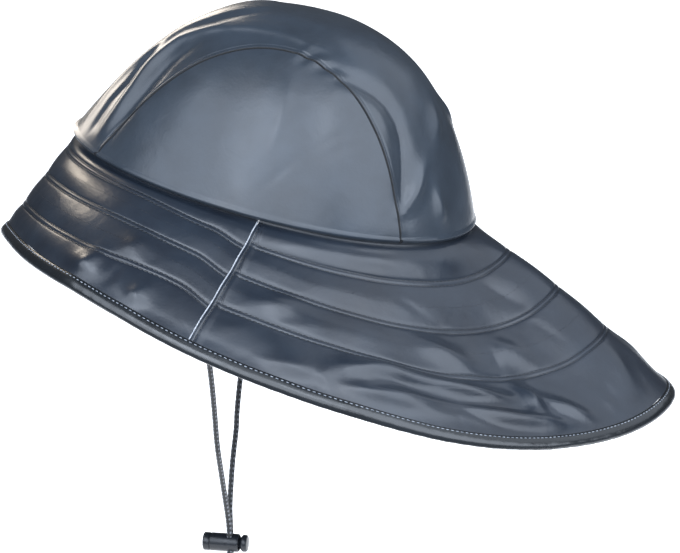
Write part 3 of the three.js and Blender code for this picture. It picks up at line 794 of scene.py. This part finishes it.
def crownRelief(p, onStrip):
    over = np.arctan2(p[..., 2], -p[..., 1])
    aside = np.abs(p[..., 0])
    total = np.zeros(over.shape)
    for fold in tableRows(crownCloths["folds"]):
        along = (over - math.radians(fold["over"])) * hat["crownHeight"]
        total += foldField(fold, along, aside - fold["aside"] * hat["crownWidth"] / 2, hat["crownLength"])
    total *= crownCloths["foldHeight"]
    perDegree = math.radians(hat["crownHeight"])
    for crease in tableRows(crownCloths["creases"]):
        line = [(a * perDegree, x) for a, x in crease["line"]]
        total += creaseField(np.degrees(over) * perDegree, aside, line, crease["height"], crease["width"])
    total += crownCloths["waveHeightMm"] * clothWaves(p, crownCloths["waveMm"], 5)
    total *= smoothStep(p[..., 2], 4, 14)
    edge = stripEdge(p[..., 1]) - aside
    if onStrip:
        rise = crownCloths["edgeRise"] * np.exp(-(edge / crownCloths["edgeWidth"]) ** 2)
        rounding = np.clip(1 - edge / crownCloths["edgeRoundMm"], 0, 1) ** 2
        sewn = crownCloths["topStitchDepth"] * np.exp(-((edge - crownCloths["topStitchMm"]) / 0.4) ** 2)
        total += (rise - 0.4 * rounding - sewn) * smoothStep(p[..., 2], 3, 6)
    return total


def domeWall(p, onStrip):
    normal = domeNormal(p)
    outer = p + normal * crownRelief(p, onStrip)[..., None]
    return outer, outer - normal * hat["crownWall"]


# Under the crown's edge the cloth rolls in round a small lip.
lipTop = hat["lipRadius"] + 1.2
lipTucks = np.radians(hat["lipTuckDeg"]) * np.linspace(1, 0, 10)


def lipWall(angles):
    angle, tuck = np.broadcast_arrays(angles[:, None], lipTucks)
    centre = ovalPoint(angle) + ovalOutward(angle) * (hat["lipBulge"] - hat["lipRadius"])
    centre[..., 2] = hat["lipRadius"]
    ray = ovalOutward(angle) * np.cos(tuck)[..., None]
    ray[..., 2] = -np.sin(tuck)
    return centre + ray * hat["lipRadius"], centre + ray * (hat["lipRadius"] - hat["crownWall"])


# Each part is an outer and an inner grid, and they are joined into one cloth.
def joinWalls(*parts):
    return [asWorn(np.concatenate(grids, axis=1)) for grids in zip(*parts)]


def gridUv(outer):
    along = np.linalg.norm(np.diff(outer, axis=1, prepend=outer[:, :1]), axis=-1).cumsum(axis=1)
    middle = outer.shape[1] // 2
    steps = np.diff(outer[:, middle], axis=0, prepend=outer[:1, middle])
    across = np.linalg.norm(steps, axis=-1).cumsum()
    return np.stack([np.broadcast_to(across[:, None], along.shape), along], axis=-1) * 1000


# Centre strip: one cloth from the front lip over the top to the back lip.
def crownStrip():
    columns, rows = crownCloths["stripGrid"]
    shares = np.linspace(-1, 1, columns)
    shares = shares * (1 + 0.1 * (1 - shares ** 2))
    nearSeam = 1 - np.array(crownCloths["stripNearSeamMm"]) / hat["stripHalfWidth"]
    shares = np.unique(np.concatenate([shares, nearSeam, -nearSeam]))
    start = math.atan2(lipTop, hat["crownLength"] / 2)
    overs = np.linspace(start, math.pi - start, rows)
    seamX = seamPoint(overs, 0)[..., 0]
    p = domeOverTop(shares[:, None] * seamX[None, :], overs[None, :])
    frontAngle, backAngle = (np.arcsin(shares * x / (hat["crownWidth"] / 2)) for x in seamX[[0, -1]])
    backLip = [grid[:, ::-1] for grid in lipWall(math.pi - backAngle)]
    outer, inner = joinWalls(lipWall(frontAngle), domeWall(p, True), backLip)
    fromSeam = (1 - np.abs(shares))[:, None] * np.pad(seamX, len(lipTucks), mode="edge")[None, :]
    return outer, inner, {"fromSeam": fromSeam}


def seamFoot(nearBack):
    low, high = (math.pi / 2, math.pi) if nearBack else (0, math.pi / 2)
    for _ in range(34):
        middle = (low + high) / 2
        x, y, _ = ovalPoint(np.array(middle))
        outside = x > stripEdge(y) + hat["seamGap"] + 0.2
        if outside == nearBack:
            low = middle
        else:
            high = middle
    return (low + high) / 2


# A side panel lies a little lower than the strip's turned edge.
def crownSide(side):
    columns, rows = crownCloths["sideGrid"]
    shares = np.linspace(0, 1, columns)
    eased = shares - 0.06 * np.sin(2 * math.pi * shares)
    angle = seamFoot(False) + (seamFoot(True) - seamFoot(False)) * eased
    foot = ovalPoint(angle)
    foot[:, 2] = lipTop
    start = math.atan2(lipTop + 1.6, hat["crownLength"] / 2)
    gap = hat["seamGap"] * crownCloths["sideLowering"]
    top = seamPoint(start + (math.pi - 2 * start) * eased, gap)
    climb = np.linspace(0, 1, rows)[None, :, None]
    way = unit(foot[:, None, :] * (1 - climb) + top[:, None, :] * climb)
    outer, inner = joinWalls(lipWall(angle), domeWall(domeOnRay(np.zeros(3), way), False))
    for grid in (outer, inner):
        grid[..., 0] *= side
    return outer, inner, {"fromSeam": np.full(outer.shape[:2], farMm)}


crownMiddle = (0, 0, 0.02)
stripOuter, stripInner, stripMarks = crownStrip()
stripPiece = clothWall(
    "crownCentreStrip", stripOuter, stripInner, gridUv(stripOuter), hat["crownWall"],
    [crownCloth, backing], crownMiddle, stripMarks,
)
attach(stripPiece, "hat")
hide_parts("crown_centre_strip")
sidePieces = []
for sideName, side in (("left", 1), ("right", -1)):
    outer, inner, marks = crownSide(side)
    piece = clothWall(
        "crownSide" + sideName.capitalize(), outer, inner, gridUv(outer), hat["crownWall"],
        [crownCloth, backing], crownMiddle, marks,
    )
    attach(piece, "hat")
    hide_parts("crown_side_panel_" + sideName)
    sidePieces.append(piece)
print("stage: crown made")


# The thin edge of the piping that shows between the two cloths, in millimetres.
pipingShown = {"half": 0.32, "rise": 0.45, "gap": 0.12, "sides": 14, "beadShare": 0.03, "beadMm": 2.4}

# The brim's sections from the front to the back, and its sewn rows, folds and creases. The
# points next to a panel's side edge stand edgeStops from it, in edgeParts of half the panel.
brim = {
    "angle": [0, 30, 60, 90, 115, 135, 155, 180],
    "length": [0.48, 0.454, 0.535, 0.634, 0.74, 0.83, 0.912, 1],
    "droopLip": [66, 33, 20, 36, 57, 60, 50, 12],
    "droopMiddle": [69, 57, 38, 35, 29, 31, 31, 27],
    "droopRim": [57, 59, 53, 45, 47, 35, 26, 28],
    "rowsFront": [0.13, 0.39, 0.685],
    "rowsBend": [0.156, 0.38, 0.62],
    "rowsSeam": [0.205, 0.438, 0.685],
    "rowsBack": [0.175, 0.4, 0.64],
    "rowsBendDeg": (58, 80),
    "rowsSeamDeg": (81, 91),
    "nearRowMm": (0.6, 1, 1.3, 1.6, 1.95, 2.4, 3, 3.8),
    "edgeParts": 520,
    "edgeStops": (0.0, 1.0, 2.2, 3.4, 4.6),
    "hemGapMm": 0.25,
    "marginHeights": (2.6, 1.7, 0.8),
    "marginLean": 0.45,
    "channelDepth": 0.6,
    "channelHalf": 1.3,
    "channelSlope": 1.3,
    "grooveDepth": 0.28,
    "puffHeight": 1.5,
    "frontPuffHeight": 0.5,
    "backPuffHeight": 0.25,
    "foldHeight": 4.2,
    "foldReachDeg": 45,
    "gatherHeight": 0.1,
    "gatherMm": 8,
    "gatherWay": (1.0, 0.35, 0.2),
    "gatherReachMm": 5,
    "mmPerRadian": 130,
    "calmMm": (0.5, 7),
    "waveHeight": 0.12,
    "waveMm": 34,
    "folds": [
        ("angle", "out", "long", "wide", "turn", "height"),
        (121, 0.72, 0.14, 0.042, -11, 1),
        (139, 0.74, 0.21, 0.042, 9, 1.05),
        (137, 0.79, 0.25, 0.035, 2, -0.85),
        (124, 0.85, 0.18, 0.042, -8, 0.8),
        (147, 0.87, 0.24, 0.042, 12, 0.9),
        (152, 0.77, 0.085, 0.042, 92, 0.7),
        (158, 0.84, 0.1, 0.042, 42, 0.65),
        (173, 0.78, 0.12, 0.056, 120, 0.3),
        (139, 0.54, 0.13, 0.056, 28, 0.55),
        (156, 0.53, 0.11, 0.063, 44, 0.5),
        (165, 0.29, 0.1, 0.05, 55, -0.25),
        (100, 0.51, 0.11, 0.05, -32, 0.35),
        (105, 0.86, 0.1, 0.05, -13, 0.45),
        (62, 0.8, 0.07, 0.05, -65, 0.7),
        (69, 0.53, 0.06, 0.06, -66, 0.35),
        (75, 0.83, 0.056, 0.042, -60, 0.5),
    ],
    "creases": [
        ("height", "width", "line"),
        (1.1, 2.6, [(115, 0.76), (122, 0.70), (128, 0.71), (138, 0.72), (148, 0.77)]),
        (-1.1, 2.4, [(120, 0.77), (132, 0.74), (139, 0.76), (150, 0.77)]),
        (1.0, 2.8, [(115, 0.87), (124, 0.83), (132, 0.81), (140, 0.82), (148, 0.87), (160, 0.92)]),
        (-1.0, 2.4, [(127, 0.85), (136, 0.83), (142, 0.89), (149, 0.93)]),
        (0.8, 3.2, [(112, 0.90), (111, 0.85), (112, 0.80)]),
        (0.9, 2.6, [(150, 0.68), (152, 0.74), (151, 0.82), (148, 0.86)]),
        (0.9, 2.6, [(154, 0.77), (157, 0.82), (160, 0.90)]),
        (0.8, 3.2, [(166, 0.83), (166, 0.87), (166, 0.91)]),
        (0.3, 4.0, [(175, 0.71), (174, 0.77), (172, 0.83)]),
        (-0.5, 2.8, [(168, 0.78), (167, 0.84), (166, 0.90)]),
        (0.5, 4.8, [(134, 0.48), (139, 0.54), (144, 0.60)]),
        (0.4, 4.8, [(154, 0.47), (157, 0.53), (159, 0.59)]),
        (-0.5, 2.4, [(152, 0.49), (151, 0.55), (150, 0.61)]),
        (-0.3, 2.8, [(166, 0.44), (167, 0.50), (168, 0.55)]),
        (-0.3, 2.8, [(172, 0.50), (173, 0.56), (173, 0.62)]),
        (-0.35, 2.8, [(162, 0.22), (165, 0.29), (167, 0.36)]),
        (-0.5, 2.6, [(131, 0.27), (135, 0.30), (138, 0.33)]),
        (0.5, 2.6, [(118, 0.10), (126, 0.09), (134, 0.10)]),
        (0.8, 3.6, [(61, 0.90), (63, 0.80), (64, 0.70)]),
        (0.4, 3.8, [(68, 0.60), (69, 0.53), (70, 0.46)]),
        (0.6, 3.2, [(74, 0.89), (75, 0.83), (76, 0.77)]),
        (-0.8, 2.6, [(68, 0.87), (69, 0.77), (69, 0.68)]),
        (0.5, 4.5, [(94, 0.60), (100, 0.51), (106, 0.42)]),
        (0.4, 4.5, [(91, 0.81), (94, 0.74), (98, 0.67)]),
        (0.6, 3.6, [(100, 0.89), (105, 0.86), (110, 0.83)]),
        (0.4, 3.2, [(102, 0.62), (106, 0.59), (110, 0.56)]),
    ],
    "tuckDepth": 0.9,
    "seamFlapMm": 4.6,
    "seamFlapRise": 0.4,
    "seamStitchMm": 1.9,
    "frontFlat": (0.09, 0.4),
    "frontArea": 0.0284,
    "backFlat": (0.142, 0.52),
    "backArea": 0.053,
}


def fromFront(angle):
    turned = np.abs(np.degrees(angle)) % 360
    return np.where(turned > 180, 360 - turned, turned)


def readSection(column, angle):
    places = np.array(brim["angle"], float)
    values = np.array(brim[column], float)
    places = np.concatenate([[2 * places[0] - places[1]], places, [2 * places[-1] - places[-2]]])
    values = np.concatenate([[values[1]], values, [values[-2]]])
    slopes = (values[2:] - values[:-2]) / (places[2:] - places[:-2])
    place = fromFront(angle)
    k = np.clip(np.searchsorted(brim["angle"], place, side="left"), 1, len(brim["angle"]) - 1)
    low, high = places[k], places[k + 1]
    t = (place - low) / (high - low)
    rise = 3 * t ** 2 - 2 * t ** 3
    leaning = (t ** 3 - 2 * t ** 2 + t) * slopes[k - 1] + (t ** 3 - t ** 2) * slopes[k]
    return (1 - rise) * values[k] + rise * values[k + 1] + leaning * (high - low)


lipTurn = 1 - math.cos(math.radians(hat["lipTuckDeg"]))
lipInnerMm = hat["lipRadius"] * lipTurn - hat["lipBulge"]
brimInset = lipInnerMm + hat["brimSeamClearance"]


def sectionLength(angle):
    return hat["brimLength"] * readSection("length", angle)


def brimPoint(angle, share):
    angle, share = np.broadcast_arrays(np.asarray(angle, float), np.asarray(share, float))
    length = sectionLength(angle)
    lipDroop = readSection("droopLip", angle)
    middleDroop = readSection("droopMiddle", angle)
    rimDroop = readSection("droopRim", angle)
    out = np.zeros(angle.shape)
    down = np.full(angle.shape, float(hat["brimDrop"]))
    steps = 12
    for k in range(steps):
        s = (k + 0.5) / steps * share
        droop = lipDroop * (1 - s) * (1 - 2 * s) + rimDroop * s * (2 * s - 1)
        droop += middleDroop * 4 * s * (1 - s)
        out += np.cos(np.radians(droop)) * length * share / steps
        down += np.sin(np.radians(droop)) * length * share / steps
    p = ovalPoint(angle, brimInset) + ovalOutward(angle) * out[..., None]
    p[..., 2] = -down
    return p


def brimFrame(angle, share):
    step = 0.01
    around = brimPoint(angle + step, share) - brimPoint(angle - step, share)
    perRadian = np.linalg.norm(around, axis=-1) / (2 * step)
    start = np.maximum(share - step, 0)
    out = brimPoint(angle, start + 2 * step) - brimPoint(angle, start)
    around, out = unit(around), unit(out)
    normal = unit(np.cross(out, around))
    normal = np.where(normal[..., 2:] < 0, -normal, normal)
    return around, out, normal, perRadian


def sideSeam(share):
    top, rim = math.radians(hat["sideSeamTopDeg"]), math.radians(hat["sideSeamRimDeg"])
    return top + (rim - top) * share


def rowShares(angle, onFront):
    place = fromFront(angle)
    toBend, toSeam = smoothStep(place, *brim["rowsBendDeg"]), smoothStep(place, *brim["rowsSeamDeg"])
    shares = []
    for row in zip(brim["rowsFront"], brim["rowsBend"], brim["rowsSeam"], brim["rowsBack"]):
        front, bend, seam, back = row
        bent = front + (bend - front) * toBend
        shares.append(bent + (seam - bent) * toSeam if onFront else np.full(angle.shape, back))
    return shares


def hemShare(angle):
    return 1 - hat["hemWidth"] / sectionLength(angle)


# Folds are wide and soft, and creases are narrow lines over them. Both are laid out in
# millimetres round the brim and down it.
def brimFolds(place, share, length):
    total = np.zeros(place.shape)
    for fold in tableRows(brim["folds"]):
        perRadian = brimFrame(np.array(math.radians(fold["angle"])), np.array(fold["out"]))[3]
        along = np.radians(place - fold["angle"]) * perRadian
        reach = np.abs(place - fold["angle"]) < brim["foldReachDeg"]
        total += reach * foldField(fold, along, (share - fold["out"]) * length, hat["brimLength"])
    return total * brim["foldHeight"]


def brimCreases(place, share):
    total = np.zeros(place.shape)
    for crease in tableRows(brim["creases"]):
        middleAngle, middleShare = crease["line"][len(crease["line"]) // 2]
        middle = np.array(math.radians(middleAngle))
        perRadian = float(brimFrame(middle, np.array(middleShare))[3])
        perShare = float(sectionLength(middle))
        line = [(math.radians(a) * perRadian, s * perShare) for a, s in crease["line"]]
        total += creaseField(
            np.radians(place) * perRadian, share * perShare, line, crease["height"], crease["width"],
        )
    return total


# Between two sewn rows the cloth puffs up, most at the sides.
def brimPuffs(place, share, bounds):
    puff = np.zeros(place.shape)
    for low, high in zip(bounds, bounds[1:]):
        inBand = np.clip((share - low) / (high - low), 0, 1)
        puff += np.sin(math.pi * inBand) ** 2 * (share > low) * (share <= high)
    height = brim["frontPuffHeight"]
    height += (brim["puffHeight"] - brim["frontPuffHeight"]) * smoothStep(place, 60, 110)
    height += (brim["backPuffHeight"] - brim["puffHeight"]) * smoothStep(place, 150, 172)
    return height * puff


# Soft waves, and small gathers beside the sewn rows, both calm next to a side seam.
def brimGathers(angle, share, length, rows):
    place = fromFront(angle)
    p = brimPoint(angle, share)
    walk = p @ np.array(brim["gatherWay"]) * 2 * math.pi / brim["gatherMm"]
    ripple = np.sin(walk + 2.2 * clothWaves(p, 30, 21)) * (0.5 + 0.5 * clothWaves(p, 60, 22))
    ripple *= brim["gatherHeight"] * (0.3 + 0.7 * smoothStep(place, 15, 45))
    total = brim["waveHeight"] * clothWaves(p, brim["waveMm"], 11)
    for row in rows:
        away = np.abs(share - row) * length
        total += ripple * np.exp(-away / brim["gatherReachMm"]) * (1 - np.exp(-(away / 1.6) ** 2))
    fromSeam = np.abs(np.radians(place) - sideSeam(share)) * brim["mmPerRadian"]
    return total * smoothStep(fromSeam, *brim["calmMm"])


# The brim's soft shape, held flat at the lip and nearly flat at the hem.
def brimRelief(angle, share, onFront, fine=True):
    place = fromFront(angle)
    length = sectionLength(angle)
    rows = rowShares(angle, onFront)
    hemStart = hemShare(angle)
    total = brimFolds(place, share, length)
    total += brimPuffs(place, share, [np.zeros(angle.shape), *rows, hemStart])
    if fine:
        total += brimCreases(place, share) + brimGathers(angle, share, length, [*rows, hemStart])
    atHem = smoothStep(share, hemStart - 0.08, hemStart)
    return total * smoothStep(share * length, 0, 10) * (1 - 0.65 * atHem)


# Each row is a flat sunk channel between two sewn grooves, and the cloth swells beside it.
def rowRidges(angle, share, onFront):
    length = sectionLength(angle)
    total = np.zeros(angle.shape)
    nearest = np.full(angle.shape, farMm)
    place = fromFront(angle)
    atSide = smoothStep(place, 60, 100) * smoothStep(-place, -172, -150)
    depth = brim["channelDepth"] * (0.3 + 0.7 * atSide)
    for row in rowShares(angle, onFront):
        away = (share - row) * length
        outside = np.maximum(np.abs(away) - brim["channelHalf"], 0) / brim["channelSlope"]
        total -= depth * np.exp(-outside ** 1.5)
        total -= brim["grooveDepth"] * np.exp(-((np.abs(away) - brim["channelHalf"]) / 0.4) ** 2)
        total += 0.16 * np.exp(-(away / 0.8) ** 2)
        nearest = np.where(np.abs(away) < np.abs(nearest), away, nearest)
    return total, nearest


# Places down the section: close together at the rows and wider between them.
def sectionStops(angle, onFront, bandSteps):
    length = sectionLength(angle)
    pastRow = np.array(brim["nearRowMm"])
    nearRow = np.concatenate([-pastRow[::-1], [0], pastRow])
    end = 1 - (hat["hemWidth"] + brim["hemGapMm"]) / length
    stops = [np.zeros(angle.shape)]
    start = np.zeros(angle.shape)
    rows = rowShares(angle, onFront)
    for k, steps in enumerate(bandSteps):
        target = rows[k] + nearRow[0] / length if k < len(rows) else end
        for m in range(1, steps):
            stops.append(start + (target - start) * m / steps)
        if k < len(rows):
            stops.extend(rows[k] + offset / length for offset in nearRow)
            start = rows[k] + nearRow[-1] / length
        else:
            stops.append(end)
    return np.stack(stops, axis=1)


# The back panel's edge is a flap over the seam, held down by a sewn line.
def seamFlap(fromEdge, share):
    flap = 1 - smoothStep(fromEdge, brim["seamFlapMm"] - 0.5, brim["seamFlapMm"] + 0.5)
    flap *= brim["seamFlapRise"] * (0.2 + 0.8 * smoothStep(fromEdge, 0, 1))
    sewn = 0.5 * np.exp(-((fromEdge - brim["seamStitchMm"]) / 0.4) ** 2)
    return (flap - sewn) * smoothStep(share * 100, 1, 4)


# The brim goes on a little way up behind the crown's lip.
def brimMargin(angle, depth):
    stack = []
    for height in brim["marginHeights"]:
        edge = ovalPoint(angle, brimInset + depth + brim["marginLean"] * height)
        edge[..., 2] = height
        stack.append(edge)
    return np.stack(stack, axis=1)


def brimPanel(onFront, columns, bandSteps):
    middle = 0 if onFront else math.pi
    t = np.linspace(-1, 1, columns)
    nearSeam = 1 - np.array(brim["edgeStops"]) / brim["edgeParts"]
    t = np.unique(np.concatenate([t, nearSeam, -nearSeam]))

    def angleAt(share):
        seam = sideSeam(share)
        clear = (pipingShown["half"] + pipingShown["gap"]) / brimFrame(seam, share)[3]
        reach = seam if onFront else math.pi - seam
        return middle + t[:, None] * (reach - clear)

    across = angleAt(np.full((len(t), 1), 0.5))[:, 0]
    share = sectionStops(across, onFront, bandSteps)
    angle = angleAt(share)
    _, _, normal, perRadian = brimFrame(angle, share)
    plain = brimPoint(angle, share)
    relief = brimRelief(angle, share, onFront)
    ridges, fromRow = rowRidges(angle, share, onFront)
    halfTurn = sideSeam(share) if onFront else math.pi - sideSeam(share)
    fromEdge = (1 - np.abs(t))[:, None] * halfTurn * perRadian
    if not onFront:
        ridges = ridges * smoothStep(fromEdge, 0, 6) + seamFlap(fromEdge, share)
        nearStitch = fromEdge - brim["seamStitchMm"]
        alongSeam = share * sectionLength(angle)
        onSeam = np.abs(nearStitch) < np.minimum(np.abs(fromRow), 2)
        fromRow = np.where(onSeam, nearStitch + coatedLook["stitchAsideMm"], fromRow)
    relief = relief - brim["tuckDepth"] * np.exp(-((share * sectionLength(angle) - 1.2) / 1.6) ** 2)
    outer = plain + normal * (relief + ridges)[..., None]
    inner = plain + normal * (relief - hat["brimWall"])[..., None]
    alongRow = np.linalg.norm(np.diff(plain, axis=0, prepend=plain[:1]), axis=-1).cumsum(axis=0)
    if not onFront:
        alongRow = np.where(onSeam, alongSeam, alongRow)
    lipAngle = angleAt(np.zeros((len(t), 1)))[:, 0]
    margins = [brimMargin(lipAngle, depth) for depth in (0, hat["brimWall"])]
    outer, inner = joinWalls(margins, (outer, inner))
    pad = np.full((len(t), len(brim["marginHeights"])), farMm)
    marks = {
        "fromRow": np.concatenate([pad, fromRow], axis=1),
        "alongRow": np.concatenate([pad, alongRow], axis=1),
    }
    return outer, inner, marks


brimPieces = {}
for partName, onFront, columns, bandSteps in (
    ("front", True, 241, (5, 9, 9, 13)), ("back", False, 285, (12, 14, 15, 22)),
):
    outer, inner, marks = brimPanel(onFront, columns, bandSteps)
    piece = clothWall(
        "brim" + partName.capitalize(), outer, inner, gridUv(outer), hat["brimWall"],
        [brimCloth, backing], (0, 0, -0.3), marks,
    )
    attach(piece, "hat")
    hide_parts("brim_" + partName + "_panel")
    brimPieces[partName] = piece
    print("stage: brim", partName, "made,", len(piece.data.polygons), "faces")


# The hem: the cloth's turned edge, sewn with a light thread near its inner side. The
# section gives millimetres outwards and up from where the hem starts.
hem = {
    "around": 460,
    "section": [
        (-0.1, 0.0), (0.5, 0.28), (1.1, 0.4), (1.9, 0.62), (3.0, 0.7), (4.1, 0.62), (5.0, 0.38),
        (5.8, -0.05), (6.4, -0.6), (6.8, -1.2), (6.9, -1.8), (6.7, -2.35), (6.1, -2.7), (5.2, -2.75),
        (3.4, -2.5), (1.2, -2.15), (-0.1, -1.8),
    ],
    "stitchPitchMm": 2.7,
    "stitchAtMm": 1.1,
    "stitchSizeMm": (0.85, 0.27, 0.24),
    "stitchRiseMm": 0.42,
    "stitchSamples": 3001,
}


def hemFrames(angles):
    share = hemShare(angles)
    seam = fromFront(sideSeam(np.ones(1)))[0]
    isFront = fromFront(angles) < seam
    around, _, normal, _ = brimFrame(angles, (share + 1) / 2)
    relief = np.where(isFront, brimRelief(angles, share, True), brimRelief(angles, share, False))
    start = brimPoint(angles, share) + normal * relief[:, None]
    out = unit(brimPoint(angles, np.ones_like(share)) - brimPoint(angles, share))
    return start, out, normal, around


def hemBand():
    angles = np.linspace(0, 2 * math.pi, hem["around"], endpoint=False)
    start, out, normal, _ = hemFrames(angles)
    across = np.array([s[0] for s in hem["section"]])[None, :, None]
    up = np.array([s[1] for s in hem["section"]])[None, :, None]
    rings = start[:, None] + out[:, None] * across + normal[:, None] * up
    pucker = 0.12 * np.sin(np.arange(hem["around"]) * 1.9) + 0.1 * clothWaves(start, 22, 31)
    rings += normal[:, None] * pucker[:, None, None] * np.clip(across / hat["hemWidth"], 0, 1)
    closed = np.concatenate([rings, rings[:1]], axis=0)
    closed = asWorn(np.concatenate([closed, closed[:, :1]], axis=1))
    piece, _, _ = gridPiece("hemBand", closed, gridUv(closed))
    closeSeams(piece)
    piece.data.materials.append(hemCloth)
    piece.data.materials.append(hemThread)
    shadeSmooth(piece, 70)
    return piece


# One stitch is modelled as a small flattened bead and copied round the rim.
def hemStitches():
    fineAngles = np.linspace(0, 2 * math.pi, hem["stitchSamples"])
    start, out, normal, around = hemFrames(fineAngles)
    line = start + out * hem["stitchAtMm"] + normal * hem["stitchRiseMm"]
    walked = np.concatenate([[0], np.linalg.norm(np.diff(line, axis=0), axis=1).cumsum()])
    count = int(walked[-1] / hem["stitchPitchMm"])
    places = np.arange(count) * walked[-1] / count
    deselectAll()
    bpy.ops.mesh.primitive_uv_sphere_add(segments=8, ring_count=6, radius=1)
    first = bpy.context.object
    bpy.ops.object.transform_apply(location=True, rotation=True, scale=True)
    first.data.materials.append(hemThread)
    copies = []
    along, wide, high = (s * 0.001 for s in hem["stitchSizeMm"])
    for place in places:
        at = asWorn(np.array([np.interp(place, walked, line[:, k]) for k in range(3)]))
        axes = []
        for field in (around, out, normal):
            way = np.array([np.interp(place, walked, field[:, k]) for k in range(3)])
            axes.append(unit(asWorn(way)))
        turned = Matrix((axes[0], axes[1], axes[2])).transposed().to_4x4()
        sized = Matrix.Diagonal((along, wide, high, 1))
        copy = first.copy()
        copy.data = first.data.copy()
        copy.data.transform(Matrix.Translation(Vector(at)) @ turned @ sized)
        scene.collection.objects.link(copy)
        copies.append(copy)
    bpy.data.objects.remove(first, do_unlink=True)
    return copies


hemPiece = hemBand()
stitches = hemStitches()
makeActive(hemPiece)
for stitch in stitches:
    stitch.select_set(True)
bpy.ops.object.join()
makeActive(hemPiece)
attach(hemPiece, "hat")
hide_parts("hem_band")
print("stage: hem made,", len(hemPiece.data.polygons), "faces")


# Light piping caught in each side seam.
def sidePiping(side):
    share = sectionStops(np.array([sideSeam(0.5)]), False, (8, 9, 9, 12))[0]
    angle = sideSeam(share)
    around, _, normal, _ = brimFrame(angle, share)
    centre = brimPoint(angle, share) + normal * brimRelief(angle, share, False, fine=False)[:, None]
    half, rise = pipingShown["half"], pipingShown["rise"]
    sides = pipingShown["sides"]
    turn = np.linspace(0, 2 * math.pi, sides, endpoint=False)
    across = half * np.cos(turn)
    up = np.where(np.sin(turn) > 0, rise * np.sin(turn), hat["brimWall"] * np.sin(turn))
    walked = share * sectionLength(angle)
    beads = 1 + pipingShown["beadShare"] * np.sin(walked * 2 * math.pi / pipingShown["beadMm"])
    rings = centre[:, None] + around[:, None] * (across[None, :] * beads[:, None])[..., None]
    rings += normal[:, None] * up[None, :, None]
    rings[..., 0] *= side
    rings = asWorn(rings)
    wide = np.linspace(0, 1, sides + 1)[None, :].repeat(len(share), axis=0)
    along = (share * 100)[:, None].repeat(sides + 1, axis=1)
    return rings, np.stack([wide, along], axis=-1)


for sideName, side in (("left", 1), ("right", -1)):
    rings, uv = sidePiping(side)
    piece = tubePiece("sidePiping" + sideName.capitalize(), rings, uv, pipingYarn)
    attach(piece, "hat")
    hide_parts("side_seam_piping_" + sideName)
print("stage: piping made")


# A bright paper sheet on a grey floor, five soft boxes and two small warm windows.
studio = {
    "floorZ": -0.27,
    "floorTone": "#7d8186",
    "floorSize": (14, 14),
    "sheetMiddle": (-1.17, -0.18),
    "sheetSize": (2.7, 1.2),
    "sheetTurnDeg": 10.4,
    "sheetThickness": 0.0006,
    "sheetTone": "#fafafa",
    "sheetGlow": 1.0,
    "skyStrength": 0.07,
    "lightsAim": (0, 0.02, -0.02),
    "lights": [
        ("name", "place", "size", "watts", "tone"),
        ("softBoxLeft", (2, -1.55, 1.6), (2.7, 3), 92, "#dfe9f7"),
        ("softBoxMiddle", (2.55, 0.4, 1.65), (2.8, 3.2), 114, "#dfe9f7"),
        ("softBoxRight", (0.95, 2.35, 1.5), (3, 3), 112, "#dfe9f7"),
        ("softBoxBack", (-1.5, 1.7, 1.9), (2, 2), 14, "#dfe9f7"),
        ("softBoxTop", (0.6, 0.6, 2.2), (1.2, 1.2), 6, "#dfe9f7"),
        ("frontWindow", (-0.79, -0.84, 0.9), (0.26, 0.36), 3.4, "#fff0dc"),
        ("crownWindow", (-1.48, -1.16, 0.6), (1.3, 0.7), 17, "#fff4e6"),
    ],
}


def studioPlane(name, size, place, turnDeg, paint, values):
    deselectAll()
    bpy.ops.mesh.primitive_plane_add(size=1, location=place, rotation=(0, 0, math.radians(turnDeg)))
    plane = bpy.context.object
    plane.name = name
    plane.scale = (*size, 1)
    material, _, _ = newMaterial(paint)
    plane.data.materials.append(shadeWith(material, {"Roughness": 0.9, "IOR": 1.4, **values}))


studioPlane(
    "studioFloor", studio["floorSize"], (0, 0, studio["floorZ"]), 0, "mattePaleFloorPaint",
    {"Base Color": linearColour(studio["floorTone"])},
)
studioPlane(
    "whitePaperSheet", studio["sheetSize"],
    (*studio["sheetMiddle"], studio["floorZ"] + studio["sheetThickness"]), studio["sheetTurnDeg"],
    "brightWhitePaper", {
        "Base Color": linearColour(studio["sheetTone"]), "Emission Color": (1, 1, 1, 1),
        "Emission Strength": studio["sheetGlow"],
    },
)

# The room's windows stand close by, so each one shows in the crown or in the brim alone.
litPieces = {
    "crownWindow": [stripPiece, *sidePieces],
    "frontWindow": [*brimPieces.values(), hemPiece],
}
for light in tableRows(studio["lights"]):
    bpy.ops.object.light_add(type="AREA", location=light["place"])
    lamp = bpy.context.object
    lamp.name = light["name"]
    lamp.data.shape = "RECTANGLE"
    lamp.data.size, lamp.data.size_y = light["size"]
    lamp.data.energy = light["watts"]
    lamp.data.color = linearColour(light["tone"])[:3]
    aim = Vector(studio["lightsAim"]) - Vector(light["place"])
    lamp.rotation_euler = aim.to_track_quat("-Z", "Y").to_euler()
    if light["name"] in litPieces:
        litBy = bpy.data.collections.new("litBy" + light["name"][0].upper() + light["name"][1:])
        for piece in litPieces[light["name"]]:
            litBy.objects.link(piece)
        lamp.light_linking.receiver_collection = litBy
sky = bpy.data.worlds.new("paleStudioSky")
scene.world = sky
scene.view_settings.view_transform = "Standard"
sky.use_nodes = True
sky.node_tree.nodes["Background"].inputs["Color"].default_value = (1, 1, 1, 1)
sky.node_tree.nodes["Background"].inputs["Strength"].default_value = studio["skyStrength"]
print("stage: studio set")
